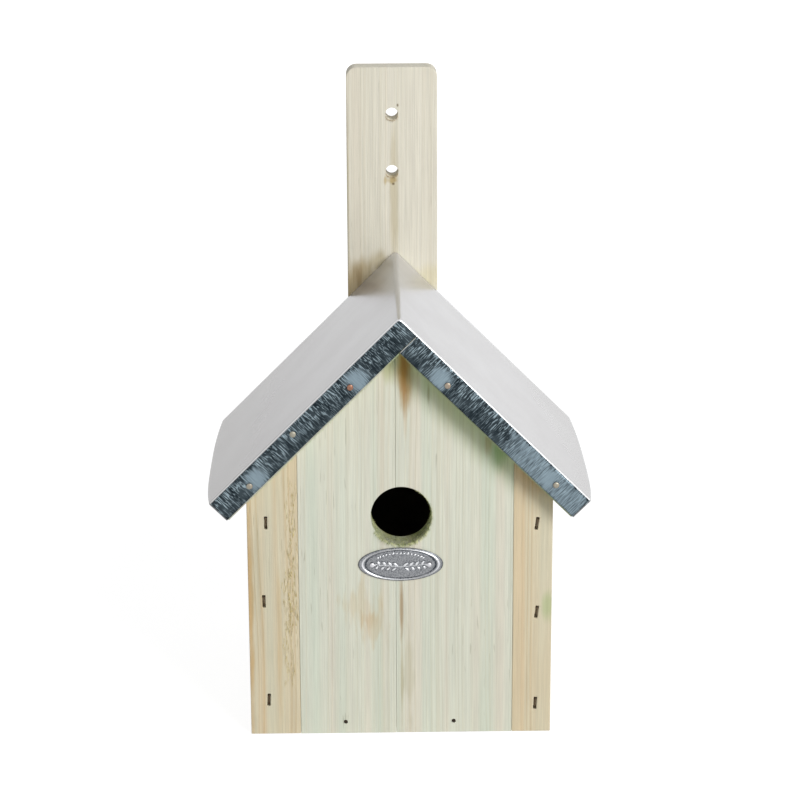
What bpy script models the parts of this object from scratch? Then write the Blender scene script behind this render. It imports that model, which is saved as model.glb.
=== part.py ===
"""Wooden tit nest box with a folded galvanised roof cap, on a tall hanging board.

Units are metres, +Z is up, +Y is the rear and +X is to the right of someone facing the front.
The origin is the middle of the whole box's outline on the plane that it stands on.
"""

import math

import bmesh
import bpy
from mathutils import Matrix, Vector

# Clearance between pieces that touch, by how much a joined solid enters its neighbour, and how far
# a cutter reaches out of the surface that it cuts.
FIT_GAP = 0.0003
FUSE = 0.0001
ABOVE_SURFACE = 0.002

# House.
HOUSE_WIDTH = 0.160
HOUSE_DEPTH = 0.1300
FRONT_THICKNESS = 0.013
BACK_THICKNESS = 0.013
SIDE_THICKNESS = 0.013
FLOOR_THICKNESS = 0.013

# Staves of the glued panels: the widths of the outer ones, and where the front's middle seam is.
FRONT_LEFT_STAVE_WIDTH = 0.0266
FRONT_RIGHT_STAVE_WIDTH = 0.0206
FRONT_MIDDLE_SEAM_X = -0.0022
BACK_LEFT_STAVE_WIDTH = 0.0490
BACK_RIGHT_STAVE_WIDTH = 0.0420

# Entrance hole, for great tits.
HOLE_DIAMETER = 0.032
HOLE_X = 0.0007
HOLE_HEIGHT = 0.1232

# Roof: the outer planes of the sheet meet at the apex. The eaves pass the walls by the overhang,
# measured down the slope, and the flanges leave a strip of the roof boards' ends in sight.
APEX_HEIGHT = 0.2340
ROOF_PITCH = math.radians(45.0)
EAVE_OVERHANG = 0.0267
EAVE_BOW = 0.0042
FRONT_OVERHANG = 0.0125
ROOF_THICKNESS = 0.013
SHEET_THICKNESS = 0.0005
BOARD_IN_SIGHT = 0.0008
RIDGE_RADIUS = 0.0025

# Hanging board, which rises above the apex. Its holes are placed from its top.
HANGING_WIDTH = 0.0500
HANGING_RISE = 0.1025
HANGING_THICKNESS = 0.013
HANGING_X = -0.0016
HANGING_CORNER = 0.0056
HANGING_HOLE_DIAMETER = 0.0070
HANGING_HOLE_DROP = 0.0259
HANGING_HOLE_PITCH = 0.0320

# Oval plate, just below the entrance hole, with a pin near each end.
PLATE_WIDTH = 0.0446
PLATE_HEIGHT = 0.0186
PLATE_THICKNESS = 0.0010
PLATE_X = 0.0003
PLATE_BELOW_HOLE = 0.0014
PLATE_PIN_INSET = 0.0073
PIN_SHANK_DIAMETER = 0.0010
PIN_HEAD_DIAMETER = 0.0024
PIN_HEAD_HEIGHT = 0.0006
PIN_LENGTH = 0.0080

# Staples. Their rows stop short of the side walls' tops.
STAPLE_CROWN = 0.0064
STAPLE_WIRE_WIDTH = 0.0011
STAPLE_WIRE_DEPTH = 0.0007
STAPLE_SUNK = 0.0003
STAPLE_BITE = 0.012

# Wire brads through the front and back panels into the floor.
BRAD_DIAMETER = 0.0012
BRAD_HEAD_DIAMETER = 0.0018
BRAD_HEAD_HEIGHT = 0.0008
BRAD_SUNK = 0.0003
BRAD_BITE = 0.014
FRONT_BRADS_X = (-0.0295, 0.0283)
BACK_BRAD_INSETS = (0.0330, 0.0310)

# Flat-headed nails through the sheet's flanges.
NAIL_DIAMETER = 0.0016
NAIL_HEAD_DIAMETER = 0.0036
NAIL_HEAD_HEIGHT = 0.0007
NAIL_LENGTH = 0.018

# Nails that hold the roof boards to the panels and to each other.
ROOF_NAIL_DIAMETER = 0.0018
ROOF_NAIL_HEAD_DIAMETER = 0.0036
ROOF_NAIL_HEAD_HEIGHT = 0.0008
ROOF_NAIL_SUNK = 0.0004
ROOF_NAIL_BITE = 0.014
UPPER_ROOF_NAIL = 0.040
LOWER_ROOF_NAIL_PAST_WALL = 0.003
RIDGE_NAIL_INSET = 0.036

# Screws through the hanging board into the back panel.
SCREW_DIAMETER = 0.0030
SCREW_HEAD_DIAMETER = 0.0070
SCREW_HEAD_HEIGHT = 0.0026
SCREW_SUNK = 0.0004
SCREW_BITE = 0.009
SCREW_EDGE = 0.012
LOWER_SCREW_HEIGHT = 0.030
UPPER_SCREW_BELOW_APEX = 0.079

# Facets.
ROUND_SEGMENTS = 12
HOLE_SEGMENTS = 48
RIDGE_SEGMENTS = 6
CORNER_SEGMENTS = 8
EAVE_STATIONS = 8

# Places in depth that follow from the sizes above.
NAIL_STAND = NAIL_HEAD_HEIGHT + FIT_GAP
TOTAL_DEPTH = NAIL_STAND + FRONT_OVERHANG + HOUSE_DEPTH + FIT_GAP + HANGING_THICKNESS
FRONT_Y = -TOTAL_DEPTH / 2 + NAIL_STAND + FRONT_OVERHANG
BACK_Y = FRONT_Y + HOUSE_DEPTH
FRONT_INSIDE_Y = FRONT_Y + FRONT_THICKNESS
BACK_INSIDE_Y = BACK_Y - BACK_THICKNESS
FLANGE_FRONT_Y = FRONT_Y - FRONT_OVERHANG
ROOF_FRONT_Y = FLANGE_FRONT_Y + SHEET_THICKNESS + FIT_GAP
ROOF_REAR_Y = BACK_Y - SHEET_THICKNESS - FIT_GAP
HANGING_FRONT_Y = BACK_Y + FIT_GAP
HANGING_REAR_Y = HANGING_FRONT_Y + HANGING_THICKNESS

# Depths below the roof's outer planes, and lengths down its slopes.
HALF_WIDTH = HOUSE_WIDTH / 2
ROOF_TOP_DEPTH = SHEET_THICKNESS + FIT_GAP
ROOF_UNDERSIDE_DEPTH = ROOF_TOP_DEPTH + ROOF_THICKNESS
FLANGE_DEPTH = ROOF_UNDERSIDE_DEPTH - BOARD_IN_SIGHT
LIP_DEPTH = FLANGE_DEPTH - FUSE
PANEL_TOP_DEPTH = ROOF_UNDERSIDE_DEPTH + FIT_GAP
WALL_LENGTH = HALF_WIDTH / math.cos(ROOF_PITCH)
EAVE_LENGTH = WALL_LENGTH + EAVE_OVERHANG
BOARD_EAVE_LENGTH = EAVE_LENGTH - SHEET_THICKNESS - FIT_GAP

# Heights.
WALL_HEIGHT = APEX_HEIGHT - HALF_WIDTH * math.tan(ROOF_PITCH) - PANEL_TOP_DEPTH / math.cos(ROOF_PITCH)
HANGING_HEIGHT = APEX_HEIGHT + HANGING_RISE
PLATE_CENTRE_HEIGHT = HOLE_HEIGHT - HOLE_DIAMETER / 2 - PLATE_BELOW_HOLE - PLATE_HEIGHT / 2

LEFT = -1
RIGHT = 1
SIDE_NAMES = {LEFT: "left", RIGHT: "right"}



def staple_heights(lowest, middle_shift, below_wall_top):
    """Three heights up a side wall, the middle one shifted from half-way."""
    highest = WALL_HEIGHT - below_wall_top
    return lowest, (lowest + highest) / 2 + middle_shift, highest


# Staples: their heights, how far each is in from the middle of the side board's edge, and its lean.
FRONT_STAPLES = {
    LEFT: (staple_heights(0.0197, 0.0062, 0.0141), (0.0032, 0.0016, 0.0034), (0.04, -0.02, 0.0)),
    RIGHT: (staple_heights(0.0163, 0.0013, 0.0158), (0.0017, 0.0015, 0.0018), (0.05, 0.12, 0.14)),
}
BACK_STAPLES = {
    LEFT: (staple_heights(0.0200, 0.0, 0.0140), (0.0012, 0.0020, 0.0010), (0.03, -0.05, 0.02)),
    RIGHT: (staple_heights(0.0190, 0.0020, 0.0150), (0.0018, 0.0010, 0.0016), (-0.04, 0.02, 0.06)),
}

# Flange nails: distance down the slope from the apex, and distance below the flange's middle line.
FRONT_FLANGE_NAILS = {
    LEFT: ((0.0437, 0.0015), (0.0821, -0.0019), (EAVE_LENGTH - 0.0219, 0.0018)),
    RIGHT: ((0.0428, 0.0017), (EAVE_LENGTH - 0.0192, 0.0003)),
}
REAR_FLANGE_NAILS = {
    LEFT: ((0.0520, 0.0005), (EAVE_LENGTH - 0.0150, 0.0007)),
    RIGHT: ((0.0530, 0.0009), (EAVE_LENGTH - 0.0140, 0.0003)),
}


def clear_scene():
    for obj in list(bpy.data.objects):
        bpy.data.objects.remove(obj, do_unlink=True)


def finish(name, colour, roughness, metallic=0.0):
    material = bpy.data.materials.new(name)
    material.use_nodes = True
    shader = material.node_tree.nodes["Principled BSDF"]
    shader.inputs["Base Color"].default_value = (*colour, 1.0)
    shader.inputs["Roughness"].default_value = roughness
    shader.inputs["Metallic"].default_value = metallic
    material.diffuse_color = (*colour, 1.0)
    return material


def make_finishes():
    return {
        "green_pine": finish("green_pine", (0.66, 0.69, 0.54), 0.75),
        "yellow_pine": finish("yellow_pine", (0.62, 0.51, 0.31), 0.75),
        "pale_pine": finish("pale_pine", (0.68, 0.65, 0.50), 0.75),
        "galvanised_sheet": finish("galvanised_sheet", (0.62, 0.64, 0.66), 0.38, 1.0),
        "fastener_steel": finish("fastener_steel", (0.30, 0.26, 0.22), 0.50, 1.0),
        "plate_aluminium": finish("plate_aluminium", (0.72, 0.72, 0.74), 0.30, 1.0),
    }


def group(name, parent=None):
    empty = bpy.data.objects.new(name, None)
    bpy.context.scene.collection.objects.link(empty)
    empty.parent = parent
    return empty


def solid(name, mesh, material, parent, place=(0.0, 0.0, 0.0), turn=None, smooth=False):
    """Put a mesh in the scene as one named piece, at its place and turned as the matrix says."""
    obj = bpy.data.objects.new(name, mesh)
    bpy.context.scene.collection.objects.link(obj)
    obj.parent = parent
    matrix = Matrix.Translation(place)
    if turn is not None:
        matrix = matrix @ turn.to_4x4()
    obj.matrix_local = matrix
    if material is not None:
        mesh.materials.clear()
        mesh.materials.append(material)
    if smooth:
        mesh.shade_smooth()
        mesh.set_sharp_from_angle(angle=math.radians(35.0))
    return obj


def cutter(name, mesh, parent, place=(0.0, 0.0, 0.0), turn=None):
    obj = solid(name, mesh, None, parent, place, turn)
    obj.hide_render = True
    obj.display_type = "WIRE"
    return obj


def join(piece, other, operation):
    modifier = piece.modifiers.new(f"{operation.lower()} {other.name}", "BOOLEAN")
    modifier.operation = operation
    modifier.solver = "EXACT"
    modifier.object = other


def cut(pieces, tool):
    for piece in pieces:
        join(piece, tool, "DIFFERENCE")


def lofted_mesh(name, loops):
    """A closed body through a list of closed loops that all have the same number of points."""
    shape = bmesh.new()
    rings = [[shape.verts.new(point) for point in loop] for loop in loops]
    for near, far in zip(rings, rings[1:]):
        count = len(near)
        for index in range(count):
            following = (index + 1) % count
            shape.faces.new((near[index], near[following], far[following], far[index]))
    shape.faces.new(list(reversed(rings[0])))
    shape.faces.new(rings[-1])
    bmesh.ops.recalc_face_normals(shape, faces=shape.faces)
    mesh = bpy.data.meshes.new(name)
    shape.to_mesh(mesh)
    shape.free()
    return mesh


def prism_mesh(name, outline, depth):
    """An outline in X and Z, made solid from y = 0 to y = depth."""
    return lofted_mesh(name, [[(x, y, z) for x, z in outline] for y in (0.0, depth)])


def turned_mesh(name, profile, segments=ROUND_SEGMENTS):
    """A body turned about Z from (radius, z) pairs. The first and the last point are on the axis."""
    shape = bmesh.new()
    first = shape.verts.new((0.0, 0.0, profile[0][1]))
    last = shape.verts.new((0.0, 0.0, profile[-1][1]))
    rings = []
    for radius, z in profile[1:-1]:
        turns = [math.tau * index / segments for index in range(segments)]
        rings.append([shape.verts.new((radius * math.cos(a), radius * math.sin(a), z)) for a in turns])
    for index in range(segments):
        following = (index + 1) % segments
        shape.faces.new((first, rings[0][index], rings[0][following]))
        for near, far in zip(rings, rings[1:]):
            shape.faces.new((near[index], near[following], far[following], far[index]))
        shape.faces.new((last, rings[-1][following], rings[-1][index]))
    bmesh.ops.recalc_face_normals(shape, faces=shape.faces)
    mesh = bpy.data.meshes.new(name)
    shape.to_mesh(mesh)
    shape.free()
    return mesh


def slope_point(side, along, depth):
    """(x, z) of a point this far down a roof slope from the apex, and this deep below its outer plane."""
    x = side * (along * math.cos(ROOF_PITCH) - depth * math.sin(ROOF_PITCH))
    return x, APEX_HEIGHT - along * math.sin(ROOF_PITCH) - depth * math.cos(ROOF_PITCH)


def crossing(left_depth, right_depth):
    """(x, z) of the point that lies this deep below the left and below the right outer plane."""
    x = (left_depth - right_depth) / (2 * math.sin(ROOF_PITCH))
    return x, APEX_HEIGHT - (left_depth + right_depth) / (2 * math.cos(ROOF_PITCH))


def ridge_arc(depth):
    """Points from left to right round the sheet's bend over the ridge, this deep below its outside."""
    centre_z = APEX_HEIGHT - RIDGE_RADIUS / math.cos(ROOF_PITCH)
    radius = RIDGE_RADIUS - depth
    turns = [ROOF_PITCH * (2 * index / RIDGE_SEGMENTS - 1) for index in range(RIDGE_SEGMENTS + 1)]
    return [(radius * math.sin(a), centre_z + radius * math.cos(a)) for a in turns]


def roof_depth_height(x, depth):
    return APEX_HEIGHT - abs(x) * math.tan(ROOF_PITCH) - depth / math.cos(ROOF_PITCH)


def inward(side):
    """Unit vector into the house, square to a roof slope."""
    return Vector((-side * math.sin(ROOF_PITCH), 0.0, -math.cos(ROOF_PITCH)))


def pointing(direction):
    """Rotation that turns +Z to this direction."""
    return Vector(direction).to_track_quat("Z", "Y").to_matrix()


def gable_outline(x_low, x_high):
    """A stave of a gable panel, from the bottom up to the underside of the roof boards."""
    outline = [(x_low, 0.0), (x_high, 0.0), (x_high, roof_depth_height(x_high, PANEL_TOP_DEPTH))]
    if x_low < 0.0 < x_high:
        outline.append((0.0, roof_depth_height(0.0, PANEL_TOP_DEPTH)))
    outline.append((x_low, roof_depth_height(x_low, PANEL_TOP_DEPTH)))
    return outline


def make_gable(names, seams, finishes, thickness, front_y, parent):
    """An edge-glued gable panel of upright staves, parted at its seams by the fit gap."""
    edges = [-HALF_WIDTH - FIT_GAP / 2, *seams, HALF_WIDTH + FIT_GAP / 2]
    staves = []
    for name, material, low, high in zip(names, finishes, edges, edges[1:]):
        outline = gable_outline(low + FIT_GAP / 2, high - FIT_GAP / 2)
        mesh = prism_mesh(name, outline, thickness)
        staves.append(solid(name, mesh, material, parent, (0.0, front_y, 0.0)))
    return staves


def make_side(side, material, parent):
    outer = side * HALF_WIDTH
    inner = side * (HALF_WIDTH - SIDE_THICKNESS)
    outline = [
        (outer, 0.0),
        (inner, 0.0),
        (inner, roof_depth_height(inner, PANEL_TOP_DEPTH)),
        (outer, roof_depth_height(outer, PANEL_TOP_DEPTH)),
    ]
    near = FRONT_INSIDE_Y + FIT_GAP
    depth = BACK_INSIDE_Y - FIT_GAP - near
    name = f"side_board_{SIDE_NAMES[side]}"
    return solid(name, prism_mesh(name, outline, depth), material, parent, (0.0, near, 0.0))


def make_floor(material, parent):
    reach = HALF_WIDTH - SIDE_THICKNESS - FIT_GAP
    near = FRONT_INSIDE_Y + FIT_GAP
    depth = BACK_INSIDE_Y - FIT_GAP - near
    outline = [(-reach, 0.0), (reach, 0.0), (reach, FLOOR_THICKNESS), (-reach, FLOOR_THICKNESS)]
    mesh = prism_mesh("floor_board", outline, depth)
    return solid("floor_board", mesh, material, parent, (0.0, near, 0.0))


def make_roof_boards(material, parent):
    """The left board runs over the ridge, eased at its corner, and the right board butts under it."""
    top = ROOF_TOP_DEPTH
    under = ROOF_UNDERSIDE_DEPTH
    ease = RIDGE_RADIUS + FIT_GAP
    butt = under + FIT_GAP
    outlines = {
        LEFT: [
            slope_point(LEFT, BOARD_EAVE_LENGTH, top),
            crossing(top, top + ease),
            crossing(top + ease, top),
            crossing(under, top),
            slope_point(LEFT, BOARD_EAVE_LENGTH, under),
        ],
        RIGHT: [
            slope_point(RIGHT, BOARD_EAVE_LENGTH, top),
            crossing(butt, top),
            crossing(butt, under),
            slope_point(RIGHT, BOARD_EAVE_LENGTH, under),
        ],
    }
    boards = {}
    for side, outline in outlines.items():
        name = f"roof_board_{SIDE_NAMES[side]}"
        mesh = prism_mesh(name, outline, ROOF_REAR_Y - ROOF_FRONT_Y)
        boards[side] = solid(name, mesh, material, parent, (0.0, ROOF_FRONT_Y, 0.0))
    return boards


def sheet_section(eave_length):
    """The closed outline of the sheet across the ridge, with its turned-down lips at the eaves."""
    inner_eave = eave_length - SHEET_THICKNESS
    outside = [
        slope_point(LEFT, eave_length, LIP_DEPTH),
        slope_point(LEFT, eave_length, 0.0),
        *ridge_arc(0.0),
        slope_point(RIGHT, eave_length, 0.0),
        slope_point(RIGHT, eave_length, LIP_DEPTH),
    ]
    inside = [
        slope_point(LEFT, inner_eave, LIP_DEPTH),
        slope_point(LEFT, inner_eave, SHEET_THICKNESS),
        *ridge_arc(SHEET_THICKNESS),
        slope_point(RIGHT, inner_eave, SHEET_THICKNESS),
        slope_point(RIGHT, inner_eave, LIP_DEPTH),
    ]
    return outside + inside[::-1]


def flange_outline(side):
    """A flange across the end of one slope. The left one covers the corner under the ridge."""
    hidden = SHEET_THICKNESS / 2
    end = EAVE_LENGTH - hidden
    if side == LEFT:
        upper = [*ridge_arc(hidden), crossing(FLANGE_DEPTH, hidden)]
    else:
        seam = FLANGE_DEPTH + FIT_GAP
        upper = [crossing(seam, FLANGE_DEPTH), crossing(seam, hidden)]
        return [*upper, slope_point(RIGHT, end, hidden), slope_point(RIGHT, end, FLANGE_DEPTH)]
    return [slope_point(LEFT, end, FLANGE_DEPTH), slope_point(LEFT, end, hidden), *upper]


def make_roof_sheet(material, parent):
    """One folded sheet: two slopes round the ridge, lips at the eaves and flanges at both ends."""
    low = FLANGE_FRONT_Y + FUSE
    high = BACK_Y - FUSE
    loops = []
    for station in range(EAVE_STATIONS + 1):
        share = station / EAVE_STATIONS
        bow = EAVE_BOW * (1.0 - abs(2.0 * share - 1.0) ** 3)
        y = low + (high - low) * share
        loops.append([(x, y, z) for x, z in sheet_section(EAVE_LENGTH + bow)])
    sheet = solid("roof_sheet", lofted_mesh("roof_sheet", loops), material, parent)
    for end, y in (("front", FLANGE_FRONT_Y), ("rear", BACK_Y - SHEET_THICKNESS)):
        for side, word in SIDE_NAMES.items():
            name = f"{end}_flange_{word}"
            mesh = prism_mesh(name, flange_outline(side), SHEET_THICKNESS)
            join(sheet, cutter(name, mesh, parent, (0.0, y, 0.0)), "UNION")
    return sheet


def rounded_top_outline(width, height, corner):
    """An upright board's outline, with its two upper corners rounded."""
    half = width / 2
    outline = [(-half, 0.0), (half, 0.0)]
    for centre_x, start in ((half - corner, 0.0), (corner - half, math.pi / 2)):
        for index in range(CORNER_SEGMENTS + 1):
            turn = start + math.pi / 2 * index / CORNER_SEGMENTS
            x = centre_x + corner * math.cos(turn)
            outline.append((x, height - corner + corner * math.sin(turn)))
    return outline


def make_hanging_board(material, parent):
    outline = rounded_top_outline(HANGING_WIDTH, HANGING_HEIGHT, HANGING_CORNER)
    mesh = prism_mesh("hanging_board", outline, HANGING_THICKNESS)
    board = solid("hanging_board", mesh, material, parent, (HANGING_X, HANGING_FRONT_Y, 0.0))
    upper = HANGING_HEIGHT - HANGING_HOLE_DROP
    for name, height in (("upper_hole", upper), ("lower_hole", upper - HANGING_HOLE_PITCH)):
        place = (HANGING_X, HANGING_FRONT_Y, height)
        cut([board], drill(name, HANGING_HOLE_DIAMETER, HANGING_THICKNESS, place, parent))
    return board


def drill(name, diameter, thickness, place, parent):
    """A cylinder along +Y through a board whose near face is at place, past both of its faces."""
    radius = diameter / 2
    far = thickness + ABOVE_SURFACE
    profile = [(0.0, -ABOVE_SURFACE), (radius, -ABOVE_SURFACE), (radius, far), (0.0, far)]
    mesh = turned_mesh(name, profile, HOLE_SEGMENTS)
    return cutter(name, mesh, parent, place, pointing((0.0, 1.0, 0.0)))


def staple_outline(leg_length, grow=0.0):
    """The U of a staple in X and Z with its crown at z = 0 and its legs down, made larger by grow."""
    half = STAPLE_CROWN / 2 + grow
    inner = STAPLE_CROWN / 2 - STAPLE_WIRE_WIDTH - grow
    top = ABOVE_SURFACE if grow else 0.0
    crown_under = -STAPLE_WIRE_DEPTH - grow
    bottom = -leg_length - grow
    return [
        (-half, bottom),
        (-inner, bottom),
        (-inner, crown_under),
        (inner, crown_under),
        (inner, bottom),
        (half, bottom),
        (half, top),
        (-half, top),
    ]


def drive_staple(name, place, facing, lean, leg_length, pieces, material, parent):
    """A staple whose crown is upright on a face that looks along facing, sunk below that face."""
    # Local -Z, the way the legs point, goes into the wood, and local X, the crown, stands upright.
    legs = Vector((0.0, -facing, 0.0))
    crown = Vector((math.sin(lean), 0.0, math.cos(lean)))
    across = (-legs).cross(crown)
    turn = Matrix((crown, across, -legs)).transposed()
    half = STAPLE_WIRE_WIDTH / 2
    mesh = prism_mesh(name, staple_outline(leg_length), STAPLE_WIRE_WIDTH)
    mesh.transform(Matrix.Translation((0.0, -half, 0.0)))
    seat = Vector(place) + legs * STAPLE_SUNK
    solid(name, mesh, material, parent, seat, turn)
    slot = prism_mesh(f"{name}_slot", staple_outline(leg_length, FIT_GAP), STAPLE_WIRE_WIDTH + 2 * FIT_GAP)
    slot.transform(Matrix.Translation((0.0, -half - FIT_GAP, 0.0)))
    cut(pieces, cutter(f"{name}_slot", slot, parent, seat, turn))


def nail_profile(head_diameter, head_height, shank_diameter, length, grow=0.0):
    """(radius, z) from the point of a nail, at z = -length, up to the top of its head at z = head_height."""
    shank = shank_diameter / 2 + grow
    head = head_diameter / 2 + grow
    taper = shank_diameter
    if grow:
        foot = -length - grow
        top = head_height + ABOVE_SURFACE
        return [(0.0, foot), (shank, foot), (shank, -grow), (head, -grow), (head, top), (0.0, top)]
    return [
        (0.0, -length),
        (shank * 0.15, -length),
        (shank, -length + taper),
        (shank, 0.0),
        (head, 0.0),
        (head, head_height * 0.6),
        (head * 0.8, head_height),
        (0.0, head_height),
    ]


def drive_nail(name, seat, into, sizes, pieces, material, parent):
    """A nail with its head's underside at seat and its shank along into, and its hole in the pieces."""
    head_diameter, head_height, shank_diameter, length = sizes
    turn = pointing(-Vector(into))
    profile = nail_profile(head_diameter, head_height, shank_diameter, length)
    solid(name, turned_mesh(name, profile), material, parent, seat, turn, smooth=True)
    hole = nail_profile(head_diameter, head_height, shank_diameter, length, FIT_GAP)
    cut(pieces, cutter(f"{name}_hole", turned_mesh(f"{name}_hole", hole), parent, seat, turn))


def drive_flange_nails(end, places, flange_y, facing, sheet, boards, material, parent):
    sizes = (NAIL_HEAD_DIAMETER, NAIL_HEAD_HEIGHT, NAIL_DIAMETER, NAIL_LENGTH)
    for side, spots in places.items():
        for number, (along, below_middle) in enumerate(spots, start=1):
            x, z = slope_point(side, along, FLANGE_DEPTH / 2 + below_middle)
            seat = (x, flange_y + facing * FIT_GAP, z)
            name = f"{end}_flange_nail_{SIDE_NAMES[side]}_{number}"
            drive_nail(name, seat, (0.0, -facing, 0.0), sizes, [sheet, boards[side]], material, parent)


def drive_roof_nails(boards, panels, material, parent):
    """Nails square to the slopes, through each roof board into the edges of the front and back panels."""
    seat_depth = ROOF_TOP_DEPTH + ROOF_NAIL_SUNK + ROOF_NAIL_HEAD_HEIGHT
    length = PANEL_TOP_DEPTH - seat_depth + ROOF_NAIL_BITE
    sizes = (ROOF_NAIL_HEAD_DIAMETER, ROOF_NAIL_HEAD_HEIGHT, ROOF_NAIL_DIAMETER, length)
    places = (UPPER_ROOF_NAIL, WALL_LENGTH + LOWER_ROOF_NAIL_PAST_WALL)
    for end, (y, staves) in panels.items():
        for side, board in boards.items():
            for number, along in enumerate(places, start=1):
                x, z = slope_point(side, along, seat_depth)
                name = f"{end}_roof_nail_{SIDE_NAMES[side]}_{number}"
                drive_nail(name, (x, y, z), inward(side), sizes, [board, *staves], material, parent)


def drive_ridge_nails(boards, material, parent):
    """Nails through the left roof board into the upper end of the right one."""
    seat_depth = ROOF_TOP_DEPTH + ROOF_NAIL_SUNK + ROOF_NAIL_HEAD_HEIGHT
    length = ROOF_UNDERSIDE_DEPTH + FIT_GAP - seat_depth + ROOF_NAIL_BITE
    sizes = (ROOF_NAIL_HEAD_DIAMETER, ROOF_NAIL_HEAD_HEIGHT, ROOF_NAIL_DIAMETER, length)
    x, z = crossing(seat_depth, ROOF_TOP_DEPTH + ROOF_THICKNESS / 2)
    for end, y in (("front", ROOF_FRONT_Y + RIDGE_NAIL_INSET), ("rear", ROOF_REAR_Y - RIDGE_NAIL_INSET)):
        pieces = [boards[LEFT], boards[RIGHT]]
        drive_nail(f"{end}_ridge_nail", (x, y, z), inward(LEFT), sizes, pieces, material, parent)


def drive_edge_staples(end, rows, face_y, facing, panel_thickness, staves, sides, material, parent):
    """The staples that hold a gable panel to the edges of the side boards."""
    leg_length = panel_thickness + STAPLE_BITE
    for side, row in rows.items():
        middle = side * (HALF_WIDTH - SIDE_THICKNESS / 2)
        for number, (height, inwards, lean) in enumerate(zip(*row), start=1):
            place = (middle - side * inwards, face_y, height)
            name = f"{end}_staple_{SIDE_NAMES[side]}_{number}"
            pieces = [staves[side], sides[side]]
            drive_staple(name, place, facing, lean, leg_length, pieces, material, parent)


def drive_floor_brads(end, places_x, face_y, facing, panel_thickness, staves, floor, material, parent):
    seat_y = face_y - facing * (BRAD_SUNK + BRAD_HEAD_HEIGHT)
    length = panel_thickness - BRAD_SUNK - BRAD_HEAD_HEIGHT + FIT_GAP + BRAD_BITE
    sizes = (BRAD_HEAD_DIAMETER, BRAD_HEAD_HEIGHT, BRAD_DIAMETER, length)
    for number, (x, stave) in enumerate(zip(places_x, staves), start=1):
        seat = (x, seat_y, FLOOR_THICKNESS / 2)
        name = f"{end}_floor_brad_{number}"
        drive_nail(name, seat, (0.0, -facing, 0.0), sizes, [stave, floor], material, parent)


def make_plate(staves, finishes, parent):
    """The oval plate and its two pins."""
    turns = [math.tau * index / HOLE_SEGMENTS for index in range(HOLE_SEGMENTS)]
    outline = [(PLATE_WIDTH / 2 * math.cos(a), PLATE_HEIGHT / 2 * math.sin(a)) for a in turns]
    back_y = FRONT_Y - FIT_GAP
    place = (PLATE_X, back_y - PLATE_THICKNESS, PLATE_CENTRE_HEIGHT)
    mesh = prism_mesh("oval_plate", outline, PLATE_THICKNESS)
    plate = solid("oval_plate", mesh, finishes["plate_aluminium"], parent, place)
    seat_y = back_y - PLATE_THICKNESS - FIT_GAP
    sizes = (PIN_HEAD_DIAMETER, PIN_HEAD_HEIGHT, PIN_SHANK_DIAMETER, PIN_LENGTH)
    for side, stave in ((LEFT, staves[1]), (RIGHT, staves[2])):
        seat = (PLATE_X + side * (PLATE_WIDTH / 2 - PLATE_PIN_INSET), seat_y, PLATE_CENTRE_HEIGHT)
        name = f"plate_pin_{SIDE_NAMES[side]}"
        pieces = [plate, stave]
        drive_nail(name, seat, (0.0, 1.0, 0.0), sizes, pieces, finishes["plate_aluminium"], parent)


def screw_profile(length, grow=0.0):
    """(radius, z) of a countersunk screw from its point up to its flat head at z = 0."""
    shank = SCREW_DIAMETER / 2 + grow
    head = SCREW_HEAD_DIAMETER / 2 + grow
    rim = -0.0005 - grow
    under = -SCREW_HEAD_HEIGHT - grow
    if grow:
        return [
            (0.0, -length - grow),
            (shank, -length - grow),
            (shank, under),
            (head, rim),
            (head, ABOVE_SURFACE),
            (0.0, ABOVE_SURFACE),
        ]
    return [
        (0.0, -length),
        (shank * 0.15, -length),
        (shank, -length + SCREW_DIAMETER),
        (shank, under),
        (head, rim),
        (head, 0.0),
        (0.0, 0.0),
    ]


def drive_hanging_screws(board, back_staves, material, parent):
    length = HANGING_THICKNESS - SCREW_SUNK + FIT_GAP + SCREW_BITE
    turn = pointing((0.0, 1.0, 0.0))
    rows = (("lower", LOWER_SCREW_HEIGHT), ("upper", APEX_HEIGHT - UPPER_SCREW_BELOW_APEX))
    for row, height in rows:
        for side, word in SIDE_NAMES.items():
            name = f"hanging_screw_{row}_{word}"
            x = HANGING_X + side * (HANGING_WIDTH / 2 - SCREW_EDGE)
            seat = (x, HANGING_REAR_Y - SCREW_SUNK, height)
            solid(name, turned_mesh(name, screw_profile(length)), material, parent, seat, turn, smooth=True)
            hole = turned_mesh(f"{name}_hole", screw_profile(length, FIT_GAP))
            cut([board, *back_staves], cutter(f"{name}_hole", hole, parent, seat, turn))


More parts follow.
